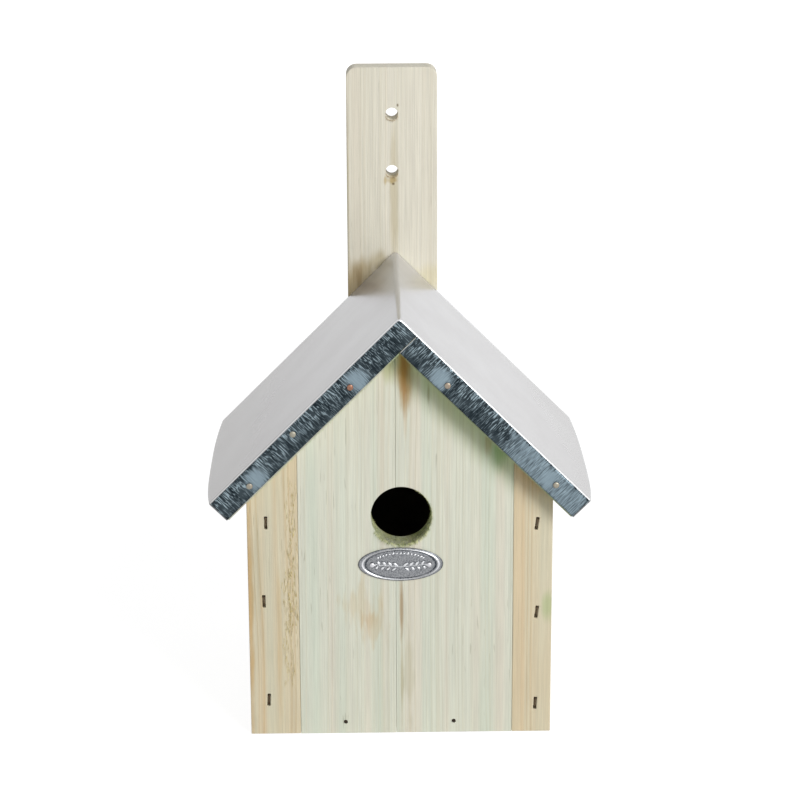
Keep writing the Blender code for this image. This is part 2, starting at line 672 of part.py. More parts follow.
def build():
    clear_scene()
    finishes = make_finishes()
    pale = finishes["pale_pine"]
    steel = finishes["fastener_steel"]
    whole = group("birdhouse_origin")
    house = group("house", whole)
    roof = group("roof", whole)
    hanging = group("hanging", whole)

    front = make_gable(
        ("front_stave_far_left", "front_stave_left", "front_stave_right", "front_stave_far_right"),
        (-HALF_WIDTH + FRONT_LEFT_STAVE_WIDTH, FRONT_MIDDLE_SEAM_X, HALF_WIDTH - FRONT_RIGHT_STAVE_WIDTH),
        [finishes[name] for name in ("yellow_pine", "green_pine", "green_pine", "yellow_pine")],
        FRONT_THICKNESS,
        FRONT_Y,
        house,
    )
    back = make_gable(
        ("back_stave_left", "back_stave_middle", "back_stave_right"),
        (-HALF_WIDTH + BACK_LEFT_STAVE_WIDTH, HALF_WIDTH - BACK_RIGHT_STAVE_WIDTH),
        [pale, pale, pale],
        BACK_THICKNESS,
        BACK_INSIDE_Y,
        house,
    )
    sides = {side: make_side(side, pale, house) for side in SIDE_NAMES}
    floor = make_floor(pale, house)
    boards = make_roof_boards(pale, roof)
    sheet = make_roof_sheet(finishes["galvanised_sheet"], roof)
    hanging_board = make_hanging_board(pale, hanging)

    entrance_place = (HOLE_X, FRONT_Y, HOLE_HEIGHT)
    entrance = drill("entrance_hole", HOLE_DIAMETER, FRONT_THICKNESS, entrance_place, house)
    cut([front[1], front[2]], entrance)
    make_plate(front, finishes, house)

    outer_front = {LEFT: front[0], RIGHT: front[3]}
    outer_back = {LEFT: back[0], RIGHT: back[2]}
    drive_edge_staples("front", FRONT_STAPLES, FRONT_Y, -1, FRONT_THICKNESS, outer_front, sides, steel, house)
    drive_edge_staples("back", BACK_STAPLES, BACK_Y, 1, BACK_THICKNESS, outer_back, sides, steel, house)
    back_brads_x = (-HALF_WIDTH + BACK_BRAD_INSETS[0], HALF_WIDTH - BACK_BRAD_INSETS[1])
    back_outer = (back[0], back[2])
    drive_floor_brads("front", FRONT_BRADS_X, FRONT_Y, -1, FRONT_THICKNESS, front[1:3], floor, steel, house)
    drive_floor_brads("back", back_brads_x, BACK_Y, 1, BACK_THICKNESS, back_outer, floor, steel, house)

    panels = {
        "front": (FRONT_Y + FRONT_THICKNESS / 2, front),
        "back": (BACK_Y - BACK_THICKNESS / 2, back),
    }
    drive_roof_nails(boards, panels, steel, roof)
    drive_ridge_nails(boards, steel, roof)
    drive_flange_nails("front", FRONT_FLANGE_NAILS, FLANGE_FRONT_Y, -1, sheet, boards, steel, roof)
    drive_flange_nails("rear", REAR_FLANGE_NAILS, BACK_Y, 1, sheet, boards, steel, roof)
    drive_hanging_screws(hanging_board, [back[1]], steel, hanging)


build()
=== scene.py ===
"""Looks of a wooden tit nest box with a folded galvanised roof, built round its CAD frame.

Lengths are metres, +Z is up, +Y is the rear and +X is to the right of someone facing the front.
"""

import sys
import logging
import math
from dataclasses import dataclass, field
from enum import Enum
from typing import Iterable, Optional, Sequence, Union

import bmesh
import bpy
from mathutils import Euler, Matrix, Vector, noise


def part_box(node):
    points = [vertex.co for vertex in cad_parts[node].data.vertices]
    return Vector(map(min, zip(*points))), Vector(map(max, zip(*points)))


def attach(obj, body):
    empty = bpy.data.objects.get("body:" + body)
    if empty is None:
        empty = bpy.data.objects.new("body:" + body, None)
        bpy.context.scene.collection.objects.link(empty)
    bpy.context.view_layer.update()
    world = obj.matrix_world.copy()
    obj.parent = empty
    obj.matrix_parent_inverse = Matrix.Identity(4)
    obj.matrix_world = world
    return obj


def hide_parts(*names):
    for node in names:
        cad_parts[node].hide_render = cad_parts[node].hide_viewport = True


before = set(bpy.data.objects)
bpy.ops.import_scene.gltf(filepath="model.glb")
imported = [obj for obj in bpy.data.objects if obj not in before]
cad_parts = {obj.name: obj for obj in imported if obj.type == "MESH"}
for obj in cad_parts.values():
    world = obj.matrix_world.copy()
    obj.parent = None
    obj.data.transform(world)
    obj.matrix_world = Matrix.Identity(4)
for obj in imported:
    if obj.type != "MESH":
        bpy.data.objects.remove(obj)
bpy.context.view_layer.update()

LOG = logging.getLogger("nest_box")
BODY = "root"
NODES: dict[str, bpy.types.Object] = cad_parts
SAME_POINT = 1e-6

Vec3 = tuple[float, float, float]
Colour = tuple[float, float, float]
Socket = bpy.types.NodeSocket
Value = Union[float, Sequence[float], Socket]
Row = Sequence[bmesh.types.BMVert]


class Grain(Enum):
    """Which way the grain of a board runs, as the turn that brings it upright."""

    UPRIGHT = (0.0, 0.0, 0.0)
    FRONT_TO_BACK = (math.pi / 2, 0.0, 0.0)
    ACROSS = (0.0, -math.pi / 2, 0.0)


def linear(colour: Colour) -> tuple[float, float, float, float]:
    """Turns a display colour, 0 to 255, into a linear one.

    Args:
        colour: Red, green and blue as they look on a display.

    Returns:
        Red, green, blue and an alpha of 1, as nodes take them.
    """
    shares = [part / 255.0 for part in colour]
    return (*(s / 12.92 if s <= 0.04045 else ((s + 0.055) / 1.055) ** 2.4 for s in shares), 1.0)


# Node trees


class Tree:
    """Short calls that add nodes to a tree and join them up."""

    def __init__(self, tree: bpy.types.NodeTree) -> None:
        """Starts on an empty tree."""
        self.tree = tree
        tree.nodes.clear()

    def add(
        self, kind: str, inputs: Optional[dict[Union[str, int], Value]] = None, **settings: object
    ) -> bpy.types.Node:
        """Adds a node.

        Args:
            kind: The node's type.
            inputs: What goes into its inputs, by their names or numbers.
            settings: Properties of the node to set.

        Returns:
            The node.
        """
        node = self.tree.nodes.new(kind)
        for name, value in settings.items():
            setattr(node, name, value)
        for key, value in (inputs or {}).items():
            self.put(node.inputs[key], value)
        return node

    def put(self, socket: Socket, value: Value) -> None:
        """Joins an output to an input, or sets the input's own value."""
        if isinstance(value, bpy.types.NodeSocket):
            self.tree.links.new(value, socket)
        else:
            socket.default_value = value

    def maths(self, operation: str, first: Value, second: Value = 0.0, clamp: bool = False) -> Socket:
        """Adds a Math node.

        Args:
            operation: What it works out.
            first: Its first input.
            second: Its second input.
            clamp: Whether the result is kept from 0 to 1.

        Returns:
            Its output.
        """
        inputs = {0: first, 1: second}
        return self.add("ShaderNodeMath", inputs, operation=operation, use_clamp=clamp).outputs[0]

    def times(self, first: Value, second: Value) -> Socket:
        """Two numbers multiplied."""
        return self.maths("MULTIPLY", first, second)

    def plus(self, first: Value, second: Value, clamp: bool = False) -> Socket:
        """Two numbers added."""
        return self.maths("ADD", first, second, clamp)

    def swing(self, value: Socket, reach: float) -> Socket:
        """How far a pattern is from its middle of 0.5, times a reach."""
        return self.times(self.maths("SUBTRACT", value, 0.5), reach)

    def vector(self, operation: str, first: Value, second: Value = (0.0, 0.0, 0.0)) -> Socket:
        """Adds a Vector Math node.

        Args:
            operation: What it works out.
            first: Its first vector.
            second: Its second vector.

        Returns:
            Its output: a number for a length or a dot product, otherwise a vector.
        """
        node = self.add("ShaderNodeVectorMath", {0: first, 1: second}, operation=operation)
        return node.outputs["Value" if operation in ("LENGTH", "DOT_PRODUCT") else "Vector"]

    def scaled(self, vector: Socket, factor: Value) -> Socket:
        """A vector times a number."""
        inputs = {0: vector, "Scale": factor}
        return self.add("ShaderNodeVectorMath", inputs, operation="SCALE").outputs[0]

    def split(self, vector: Socket) -> Sequence[Socket]:
        """The three numbers of a vector."""
        return self.add("ShaderNodeSeparateXYZ", {0: vector}).outputs

    def placed(
        self, vector: Socket, scale: Vec3 = (1, 1, 1), move: Vec3 = (0, 0, 0), turn: Vec3 = (0, 0, 0)
    ) -> Socket:
        """Adds a Mapping node that stretches, moves and turns a pattern.

        Args:
            vector: The place on the piece.
            scale: How much finer the pattern is along each axis.
            move: Where the pattern is moved to.
            turn: How the pattern is turned, in radians.

        Returns:
            The place in the pattern.
        """
        inputs = {"Vector": vector, "Scale": scale, "Location": move, "Rotation": turn}
        return self.add("ShaderNodeMapping", inputs).outputs[0]

    def noise(self, vector: Socket, scale: float, detail: float, colour: bool = False) -> Socket:
        """Adds a Noise Texture.

        Args:
            vector: The place in the pattern.
            scale: Spots in a metre.
            detail: How many finer layers it has.
            colour: Whether to give three numbers at once instead of one.

        Returns:
            Its output, about 0.5 on average.
        """
        inputs = {"Vector": vector, "Scale": scale, "Detail": detail}
        return self.add("ShaderNodeTexNoise", inputs).outputs[1 if colour else 0]

    def pattern(
        self, vector: Socket, scale: Vec3, detail: float, move: Vec3 = (0, 0, 0), colour: bool = False
    ) -> Socket:
        """Adds noise that is finer along some axes than along others.

        Args:
            vector: The place on the piece.
            scale: Spots in a metre along each axis.
            detail: How many finer layers it has.
            move: Where the pattern is moved to.
            colour: Whether to give three numbers at once instead of one.

        Returns:
            Its output, about 0.5 on average.
        """
        return self.noise(self.placed(vector, scale, move), 1.0, detail, colour)

    def uneven(self, value: Socket, scale: float) -> Socket:
        """Noise along a number."""
        inputs = {"W": value, "Scale": scale}
        return self.add("ShaderNodeTexNoise", inputs, noise_dimensions="1D").outputs[0]

    def range(
        self, value: Socket, low: float, high: float, start: float = 0.0, end: float = 1.0
    ) -> Socket:
        """Takes low..high smoothly to start..end, and stops at both.

        Args:
            value: The number.
            low: Where it starts to change.
            high: Where it has changed.
            start: The result at low.
            end: The result at high.

        Returns:
            The new number.
        """
        inputs = {"Value": value, "From Min": low, "From Max": high, "To Min": start, "To Max": end}
        return self.add("ShaderNodeMapRange", inputs, interpolation_type="SMOOTHSTEP").outputs[0]

    def ramp(self, factor: Socket, stops: Iterable[tuple[float, float]]) -> Socket:
        """Adds a Color Ramp of greys.

        Args:
            factor: The number to look up.
            stops: Places and the grey at each.

        Returns:
            The grey.
        """
        node = self.add("ShaderNodeValToRGB", {0: factor})
        elements = node.color_ramp.elements
        for index, (place, grey) in enumerate(stops):
            element = elements[index] if index < 2 else elements.new(place)
            element.position = place
            element.color = (grey, grey, grey, 1.0)
        return node.outputs[0]

    def mix(self, factor: Value, first: Value, second: Value, mode: str = "MIX") -> Socket:
        """Mixes two colours.

        Args:
            factor: The share of the second.
            first: The colour below.
            second: The colour laid over it.
            mode: How they blend.

        Returns:
            The mixed colour.
        """
        inputs = {0: factor, 6: first, 7: second}
        return self.add("ShaderNodeMix", inputs, data_type="RGBA", blend_type=mode).outputs[2]

    def tint(self, factor: Value, below: Value, colour: Colour, mode: str = "MIX") -> Socket:
        """Lays a share of a display colour over another."""
        return self.mix(factor, below, linear(colour), mode)

    def dimmed(self, colour: Socket, value: Socket) -> Socket:
        """A colour made darker or lighter by a number."""
        grey = self.add("ShaderNodeCombineXYZ", {0: value, 1: value, 2: value}).outputs[0]
        return self.mix(1.0, colour, grey, "MULTIPLY")

    def bump(
        self, height: Socket, distance: float, strength: float, under: Optional[Socket] = None
    ) -> Socket:
        """Adds a Bump node.

        Args:
            height: The relief, 0 to 1.
            distance: How high 1 is, in metres.
            strength: The share of the effect.
            under: A normal to work on.

        Returns:
            The new normal.
        """
        inputs = {"Height": height, "Distance": distance, "Strength": strength}
        if under is not None:
            inputs["Normal"] = under
        return self.add("ShaderNodeBump", inputs).outputs[0]

    def place(self) -> Socket:
        """The place on the piece, in metres."""
        return self.add("ShaderNodeTexCoord").outputs["Object"]

    def attribute(self, name: str, output: str = "Fac") -> Socket:
        """Reads an attribute of the mesh."""
        return self.add("ShaderNodeAttribute", attribute_name=name).outputs[output]


def new_material(name: str) -> tuple[bpy.types.Material, Tree, bpy.types.Node]:
    """Starts a material.

    Args:
        name: Its name.

    Returns:
        The material, its tree and its Principled shader, already joined to the output.
    """
    material = bpy.data.materials.new(name)
    material.use_nodes = True
    tree = Tree(material.node_tree)
    shader = tree.add("ShaderNodeBsdfPrincipled")
    tree.add("ShaderNodeOutputMaterial", {"Surface": shader.outputs[0]})
    return material, tree, shader


# Finishes


@dataclass(frozen=True)
class Stain:
    """A soft spot of another colour in the wood, such as resin or a knot's shade; some are painted
    shadows.
    """

    centre: Vec3
    size: Vec3
    colour: Colour
    strength: float
    ragged: float = 0.0

    def away(self, tree: Tree, spot: Socket) -> Socket:
        """How far a place is from the centre, 1 at the stain's edge."""
        return tree.vector(
            "LENGTH", tree.vector("DIVIDE", tree.vector("SUBTRACT", spot, self.centre), self.size)
        )


@dataclass(frozen=True)
class Shade:
    """A painted shade over the wood past a plane, such as the painted shadow under an eave."""

    facing: Vec3
    start: float
    end: float
    colour: Colour
    strength: float


@dataclass(frozen=True)
class Pine:
    """Sawn and planed pine: pale wood, rings that show as lines, broad tints and fine fibres."""

    name: str
    pale: Colour = (216, 217, 201)
    cool: Colour = (206, 214, 197)
    warm: Colour = (221, 211, 194)
    line: Colour = (226, 212, 188)
    fleck: Colour = (128, 120, 92)
    line_strength: float = 0.30
    cool_share: float = 0.65
    warm_share: float = 0.5
    blotch_share: float = 0.6
    fleck_share: float = 0.3
    ring_width: float = 0.0030
    ring_drift: float = 0.016
    # Tone of the sawn ends: below 1 the end grain's own darker tone, above 1 painted light.
    end_tone_and_light: float = 0.80
    shade_ragged: float = 0.012
    stains: tuple[Stain, ...] = ()
    shades: tuple[Shade, ...] = ()
    torn: Optional[Stain] = None

    def rings(self, tree: Tree, place: Socket, pith: Vec3) -> Socket:
        """Works out the dark lines of the rings.

        Args:
            tree: The material's tree.
            place: The place in the board, grain upright.
            pith: The middle of the trunk, well outside the board.

        Returns:
            0 in pale wood, up to 1 on a line.
        """
        drift = tree.pattern(place, (9.0, 9.0, 2.6), 2.0, colour=True)
        drift = tree.scaled(tree.vector("SUBTRACT", drift, (0.5, 0.5, 0.5)), self.ring_drift)
        from_pith = tree.vector("SUBTRACT", tree.vector("ADD", place, drift), pith)
        radius = tree.vector("LENGTH", tree.vector("MULTIPLY", from_pith, (1.0, 1.0, 0.0)))
        phase = tree.maths("DIVIDE", radius, self.ring_width)
        phase = tree.plus(phase, tree.times(tree.uneven(phase, 0.37), 2.6))
        profile = ((0.0, 0.0), (0.45, 0.10), (0.86, 1.0), (0.97, 0.15))
        line = tree.ramp(tree.maths("FRACT", phase), profile)
        return tree.times(line, tree.range(tree.uneven(phase, 0.9), 0.25, 0.75, 0.15, 1.0))

    def tints(self, tree: Tree, place: Socket, own: Vec3, line: Socket) -> Socket:
        """Works out the broad colours of the wood and its ring lines.

        Args:
            tree: The material's tree.
            place: The place in the board, grain upright.
            own: The board's own part of the patterns.
            line: The ring lines.

        Returns:
            The colour.
        """
        bands = tree.range(tree.pattern(place, (95.0, 60.0, 1.1), 2.0, own), 0.38, 0.66)
        blotches = tree.range(tree.pattern(place, (26.0, 26.0, 7.0), 3.0, own), 0.48, 0.75)
        second = tree.pattern(place, (150.0, 70.0, 1.8), 1.0, (own[1], own[0], 3.0))
        streaks = tree.range(second, 0.46, 0.70)
        colour = tree.tint(tree.times(bands, self.cool_share), linear(self.pale), self.cool)
        colour = tree.tint(tree.times(streaks, self.warm_share), colour, self.warm)
        blotch_share = self.warm_share * self.blotch_share
        colour = tree.tint(tree.times(blotches, blotch_share), colour, self.warm)
        return tree.tint(tree.times(line, self.line_strength), colour, self.line, "MULTIPLY")

    def fibres(self, tree: Tree, place: Socket, own: Vec3, fibre: Socket, colour: Socket) -> Socket:
        """Lays the fibres' shade and the small brown flecks over a colour.

        Args:
            tree: The material's tree.
            place: The place in the board, grain upright.
            own: The board's own part of the patterns.
            fibre: The fine fibres.
            colour: The colour so far.

        Returns:
            The colour.
        """
        coarse = tree.pattern(place, (520.0, 520.0, 9.0), 2.0, own)
        coarse = tree.range(coarse, 0.3, 0.7, -0.035, 0.03)
        colour = tree.dimmed(colour, tree.plus(tree.range(fibre, 0.3, 0.7, 0.93, 1.03), coarse))
        dash = tree.range(tree.pattern(place, (1050.0, 1050.0, 75.0), 0.0, (1.7, 0.3, 0.9)), 0.72, 0.80)
        where = tree.range(tree.pattern(place, (45.0, 45.0, 14.0), 1.0, own), 0.45, 0.65)
        return tree.tint(tree.times(tree.times(dash, where), self.fleck_share), colour, self.fleck)

    def marks(
        self, tree: Tree, spot: Socket, place: Socket, fibre: Socket, colour: Socket
    ) -> tuple[Socket, Socket]:
        """Lays torn grain, stains and painted shades over a colour; some stains are painted shadows
        too.

        Args:
            tree: The material's tree.
            spot: The place on the piece.
            place: The same, grain upright.
            fibre: The fine fibres.
            colour: The colour so far.

        Returns:
            The colour, and the fibres with the torn pits sunk into them.
        """
        rough = tree.pattern(place, (230.0, 230.0, 42.0), 3.0)
        if self.torn is not None:
            inside = tree.range(self.torn.away(tree, spot), 0.55, 1.1, 1.0, 0.0)
            pit = tree.range(tree.pattern(place, (1150.0, 1150.0, 170.0), 1.0), 0.58, 0.70)
            pit = tree.times(pit, inside)
            colour = tree.tint(tree.times(pit, self.torn.strength), colour, self.torn.colour)
            fibre = tree.maths("SUBTRACT", fibre, tree.times(pit, 0.5))
        for stain in self.stains:
            away = tree.plus(stain.away(tree, spot), tree.swing(rough, 3 * stain.ragged))
            share = tree.range(away, 0.25, 1.15, stain.strength, 0.0)
            colour = tree.tint(share, colour, stain.colour, "MULTIPLY")
        for shade in self.shades:
            depth = tree.vector("DOT_PRODUCT", spot, shade.facing)
            depth = tree.plus(depth, tree.swing(rough, self.shade_ragged))
            share = tree.range(depth, shade.start, shade.end, 0.0, shade.strength)
            colour = tree.tint(share, colour, shade.colour, "MULTIPLY")
        return colour, fibre

    def end_grain(self, tree: Tree, grain: Grain, pores: Socket, colour: Socket) -> Socket:
        """Darkens or lightens the sawn ends, by the way that each face points: darker is the end
        grain's own tone, lighter is painted light.

        Args:
            tree: The material's tree.
            grain: Which way the grain runs.
            pores: The pattern of the open pores.
            colour: The colour so far.

        Returns:
            The colour.
        """
        normal = tree.add("ShaderNodeNewGeometry").outputs["Normal"]
        upright = tree.split(tree.placed(normal, turn=grain.value))[2]
        end = tree.range(tree.maths("ABSOLUTE", upright), 0.6, 0.9)
        tone = tree.range(pores, 0.3, 0.75, self.end_tone_and_light - 0.12, self.end_tone_and_light + 0.06)
        return tree.mix(end, colour, tree.dimmed(colour, tone))

    def build(self, piece: str, pith: Vec3, grain: Grain = Grain.UPRIGHT) -> bpy.types.Material:
        """Makes the finish for one board.

        Args:
            piece: The board's name.
            pith: The middle of the trunk it was sawn from, grain upright.
            grain: Which way its grain runs.

        Returns:
            The material.
        """
        material, tree, shader = new_material(f"{self.name}_{piece}")
        spot = tree.place()
        place = tree.placed(spot, turn=grain.value)
        line = self.rings(tree, place, pith)
        own = (pith[0] * 7.0, pith[1] * 5.0, 0.0)
        fibre = tree.pattern(place, (1500.0, 1500.0, 34.0), 3.0, own)
        pores = tree.pattern(place, (1800.0, 1800.0, 1800.0), 2.0)
        colour = self.fibres(tree, place, own, fibre, self.tints(tree, place, own, line))
        colour, fibre = self.marks(tree, spot, place, fibre, colour)
        tree.put(shader.inputs["Base Color"], self.end_grain(tree, grain, pores, colour))
        tree.put(shader.inputs["Roughness"], tree.range(fibre, 0.2, 0.8, 0.52, 0.74))
        shader.inputs["Specular IOR Level"].default_value = 0.28
        relief = tree.bump(line, 0.00012, 0.5, tree.bump(fibre, 0.00022, 0.55))
        tree.put(shader.inputs["Normal"], tree.bump(pores, 0.00020, 0.25, relief))
        return material


@dataclass(frozen=True)
class GalvanisedSheet:
    """Zinc-coated roof sheet: pale and smooth on the slopes, with painted shade towards the eaves; on
    the flanges, a painted reflection, dark and streaked; a painted highlight along the folds.
    """

    name: str = "galvanised_sheet"
    slope: Colour = (210, 210, 211)
    slope_dull: Colour = (202, 201, 202)
    eave_shade: Colour = (196, 193, 191)
    # The flanges' dark colour, their pale streaks, glints and pale patches are a painted reflection of
    # dark surroundings.
    flange: Colour = (18, 31, 38)
    flange_light: Colour = (152, 170, 178)
    patch: Colour = (138, 156, 166)
    bright: Colour = (252, 252, 252)

    def slopes(self, tree: Tree, place: Socket, fine: Socket) -> Socket:
        """Works out the colour of the slopes, with painted shade that darkens them towards the eaves,
        more on the left slope.

        Args:
            tree: The material's tree.
            place: The sheet's own place.
            fine: The fine spangle.

        Returns:
            The colour.
        """
        cloud = tree.range(tree.pattern(place, (34.0, 34.0, 34.0), 4.0), 0.30, 0.72)
        colour = tree.tint(cloud, linear(self.slope), self.slope_dull)
        colour = tree.tint(tree.range(fine, 0.35, 0.75, 0.0, 0.30), colour, self.slope_dull)
        # Painted shade: darker down towards the eaves, most on the left slope, which the light reaches
        # less.
        across = tree.split(place)[0]
        left = tree.range(across, -0.30, -0.46, 0.05, 1.0)
        right = tree.range(across, 0.34, 0.46, 0.0, 0.60)
        return tree.tint(tree.maths("MAXIMUM", left, right), colour, self.eave_shade, "MULTIPLY")

    def flanges(self, tree: Tree, place: Socket, streak: Socket) -> Socket:
        """Works out the colour of the flanges, a painted reflection: pale streaks, glints and pale
        patches on dark.

        Args:
            tree: The material's tree.
            place: The sheet's own place.
            streak: The long streaks, a painted reflection in the colour and scratches in the bump.

        Returns:
            The colour.
        """
        broad = tree.pattern(place, (260.0, 20.0, 140.0), 2.0)
        glint = tree.range(tree.pattern(place, (2300.0, 40.0, 420.0), 0.0), 0.64, 0.70)
        upper = tree.range(tree.split(place)[2], 0.0045, 0.0115, 1.0, 0.35)
        mark = tree.times(tree.range(streak, 0.570, 0.64), tree.range(broad, 0.34, 0.64, 0.20, 1.0))
        mark = tree.times(tree.plus(mark, tree.times(glint, 0.60), clamp=True), upper)
        mark = tree.plus(mark, tree.range(broad, 0.3, 0.7, 0.0, 0.12), clamp=True)
        colour = tree.tint(mark, linear(self.flange), self.flange_light)
        # Pale patches above the nails and at the foot of the right flange: painted reflection.
        smooth = tree.plus(tree.attribute("smooth_patch"), tree.swing(streak, 0.9))
        return tree.tint(tree.range(smooth, 0.15, 0.95, 0.0, 0.88), colour, self.patch)

    def build(self) -> bpy.types.Material:
        """Makes the finish, which reads the sheet's own place and how far it is folded down.

        Returns:
            The material.
        """
        material, tree, shader = new_material(self.name)
        place = tree.attribute("sheet_place", "Vector")
        folded = tree.attribute("folded")
        fine = tree.pattern(place, (1100.0, 700.0, 900.0), 2.0)
        streak = tree.pattern(place, (1900.0, 40.0, 190.0), 0.0)
        flanges = self.flanges(tree, place, streak)
        colour = tree.mix(folded, self.slopes(tree, place, fine), flanges)
        # Painted highlight along the folds and at the right flange's seam, bright in the base colour.
        colour = tree.tint(tree.attribute("burnished"), colour, self.bright)
        tree.put(shader.inputs["Base Color"], colour)
        tree.put(shader.inputs["Roughness"], tree.range(folded, 0.0, 1.0, 0.16, 0.42))
        tree.put(shader.inputs["Metallic"], tree.range(folded, 0.0, 1.0, 0.46, 0.58))
        shader.inputs["Specular IOR Level"].default_value = 0.3
        spangle = tree.bump(fine, 0.00002, 0.25)
        scratches = tree.bump(tree.times(streak, folded), 0.00015, 0.4, spangle)
        tree.put(shader.inputs["Normal"], scratches)
        return material


@dataclass(frozen=True)
class WornMetal:
    """Steel or aluminium of the small fittings, each a little lighter, rustier or browner."""

    name: str
    clean: Colour
    worn: Colour
    metallic: float = 0.85
    roughness: float = 0.34

    def build(self) -> bpy.types.Material:
        """Makes the finish, which reads each fitting's tone, 0 clean to 1 worn.

        Returns:
            The material.
        """
        material, tree, shader = new_material(self.name)
        spots = tree.noise(tree.place(), 1400.0, 3.0)
        share = tree.plus(tree.attribute("tone"), tree.swing(spots, 0.9), clamp=True)
        tree.put(shader.inputs["Base Color"], tree.tint(share, linear(self.clean), self.worn))
        roughness = tree.range(spots, 0.3, 0.7, self.roughness, self.roughness + 0.2)
        tree.put(shader.inputs["Roughness"], roughness)
        shader.inputs["Metallic"].default_value = self.metallic
        tree.put(shader.inputs["Normal"], tree.bump(spots, 0.00004, 0.5))
        return material


@dataclass(frozen=True)
class PlateMetal:
    """Pressed aluminium, darker in the low places and bright on the raised ones; the raised brightness
    is a painted highlight.
    """

    name: str = "plate_aluminium"
    bright: Colour = (244, 245, 248)
    low: Colour = (50, 56, 63)

    def build(self) -> bpy.types.Material:
        """Makes the finish, which reads the height of the pressed relief.

        Returns:
            The material.
        """
        material, tree, shader = new_material(self.name)
        grit = tree.noise(tree.place(), 1700.0, 2.0)
        share = tree.plus(tree.attribute("relief"), tree.swing(grit, 0.55), clamp=True)
        tree.put(shader.inputs["Base Color"], tree.tint(share, linear(self.low), self.bright))
        tree.put(shader.inputs["Roughness"], tree.range(grit, 0.3, 0.7, 0.26, 0.42))
        shader.inputs["Metallic"].default_value = 0.9
        tree.put(shader.inputs["Normal"], tree.bump(grit, 0.00006, 0.6))
        return material


@dataclass(frozen=True)
class FibreFinish:
    """Loose wood fibres, from pale to green or brown along their lengths."""

    name: str
    tip: Colour
    root: Colour

    def build(self) -> bpy.types.Material:
        """Makes the finish.

        Returns:
            The material.
        """
        material, tree, shader = new_material(self.name)
        share = tree.range(tree.noise(tree.place(), 600.0, 1.0), 0.3, 0.7)
        tree.put(shader.inputs["Base Color"], tree.tint(share, linear(self.root), self.tip))
        shader.inputs["Roughness"].default_value = 0.8
        return material


# Meshes


def finished(
    name: str, bm: bmesh.types.BMesh, outwards: bool = False, smooth: bool = False
) -> bpy.types.Mesh:
    """Turns working geometry into a mesh and lets it go.

    Args:
        name: The mesh's name.
        bm: The working geometry.
        outwards: Whether to turn its faces outwards first.
        smooth: Whether it is shaded smooth.

    Returns:
        The mesh.
    """
    if outwards:
        bmesh.ops.recalc_face_normals(bm, faces=bm.faces)
    mesh = bpy.data.meshes.new(name)
    bm.to_mesh(mesh)
    bm.free()
    if smooth:
        mesh.shade_smooth()
    else:
        mesh.shade_flat()
    return mesh


def skin(
    bm: bmesh.types.BMesh, rows: Sequence[Row], closed: bool = False, backwards: bool = False
) -> None:
    """Joins rows of points, each to the next, with faces.

    Args:
        bm: The mesh.
        rows: The rows, of one length, or of a single point at a pole.
        closed: Whether each row is a ring.
        backwards: Whether the faces turn the other way.
    """
    for near, far in zip(rows, rows[1:]):
        steps = max(len(near), len(far))
        for step in range(steps if closed else steps - 1):
            after = (step + 1) % steps
            first, last = near[step % len(near)], near[after % len(near)]
            corners = [first, far[step % len(far)], far[after % len(far)], last]
            if backwards:
                corners = [first, last, far[after % len(far)], far[step % len(far)]]
            bm.faces.new(list(dict.fromkeys(corners)))


def circle(steps: int, start: float = 0.0) -> list[float]:
    """The angles of a ring of points."""
    return [math.tau * (step + start) / steps for step in range(steps)]


def turned_shape(name: str, profile: Iterable[tuple[float, float]], steps: int) -> bpy.types.Mesh:
    """Turns a profile round Z.

    Args:
        name: The mesh's name.
        profile: Radii and heights from the foot to the top, the first and last on the axis.
        steps: Steps round.

    Returns:
        A closed mesh with its faces outwards.
    """
    bm = bmesh.new()
    rings = []
    for radius, z in profile:
        around = circle(steps) if radius > SAME_POINT else [0.0]
        rings.append([bm.verts.new((radius * math.cos(a), radius * math.sin(a), z)) for a in around])
    skin(bm, rings, closed=True, backwards=True)
    return finished(name, bm, outwards=True, smooth=True)


def piece_of(
    name: str, mesh: bpy.types.Mesh, material: Optional[bpy.types.Material] = None
) -> bpy.types.Object:
    """Puts a mesh in the scene as an object at the origin.

    Args:
        name: The object's name.
        mesh: Its mesh, in place.
        material: Its finish.

    Returns:
        The object.
    """
    mesh.name = name
    piece = bpy.data.objects.new(name, mesh)
    bpy.context.scene.collection.objects.link(piece)
    if material is not None:
        mesh.materials.clear()
        mesh.materials.append(material)
    return piece


def settled(piece: bpy.types.Object) -> bpy.types.Object:
    """Turns a piece's modifiers into plain mesh.

    Args:
        piece: A piece with modifiers.

    Returns:
        The same piece, with the result as its mesh and no modifiers.
    """
    bpy.context.view_layer.update()
    graph = bpy.context.evaluated_depsgraph_get()
    shape = piece.evaluated_get(graph)
    mesh = bpy.data.meshes.new_from_object(shape, preserve_all_data_layers=True, depsgraph=graph)
    piece.modifiers.clear()
    piece.data = mesh
    mesh.name = piece.name
    return piece


def report(piece: bpy.types.Object) -> None:
    """Logs a piece's name, faces and size."""
    low, high = (Vector(f(v.co[i] for v in piece.data.vertices) for i in range(3)) for f in (min, max))
    size = " x ".join(f"{1000 * length:.1f}" for length in high - low)
    LOG.info("%s: %d faces, %s mm", piece.name, len(piece.data.polygons), size)


def hand_over(piece: bpy.types.Object, slot: str, *nodes: str) -> bpy.types.Object:
    """Puts a finished piece on the body in place of its CAD nodes.

    Args:
        piece: The finished piece, at the origin.
        slot: The record's material slot; not used.
        nodes: The CAD nodes it stands for.

    Returns:
        The piece.
    """
    if nodes:
        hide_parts(*nodes)
    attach(piece, BODY)
    report(piece)
    return piece


def nodes_named(*parts: str) -> list[str]:
    """The names of the CAD nodes that hold one of these words, in order."""
    return sorted(name for name in NODES if any(part in name for part in parts))


# Geometry Nodes


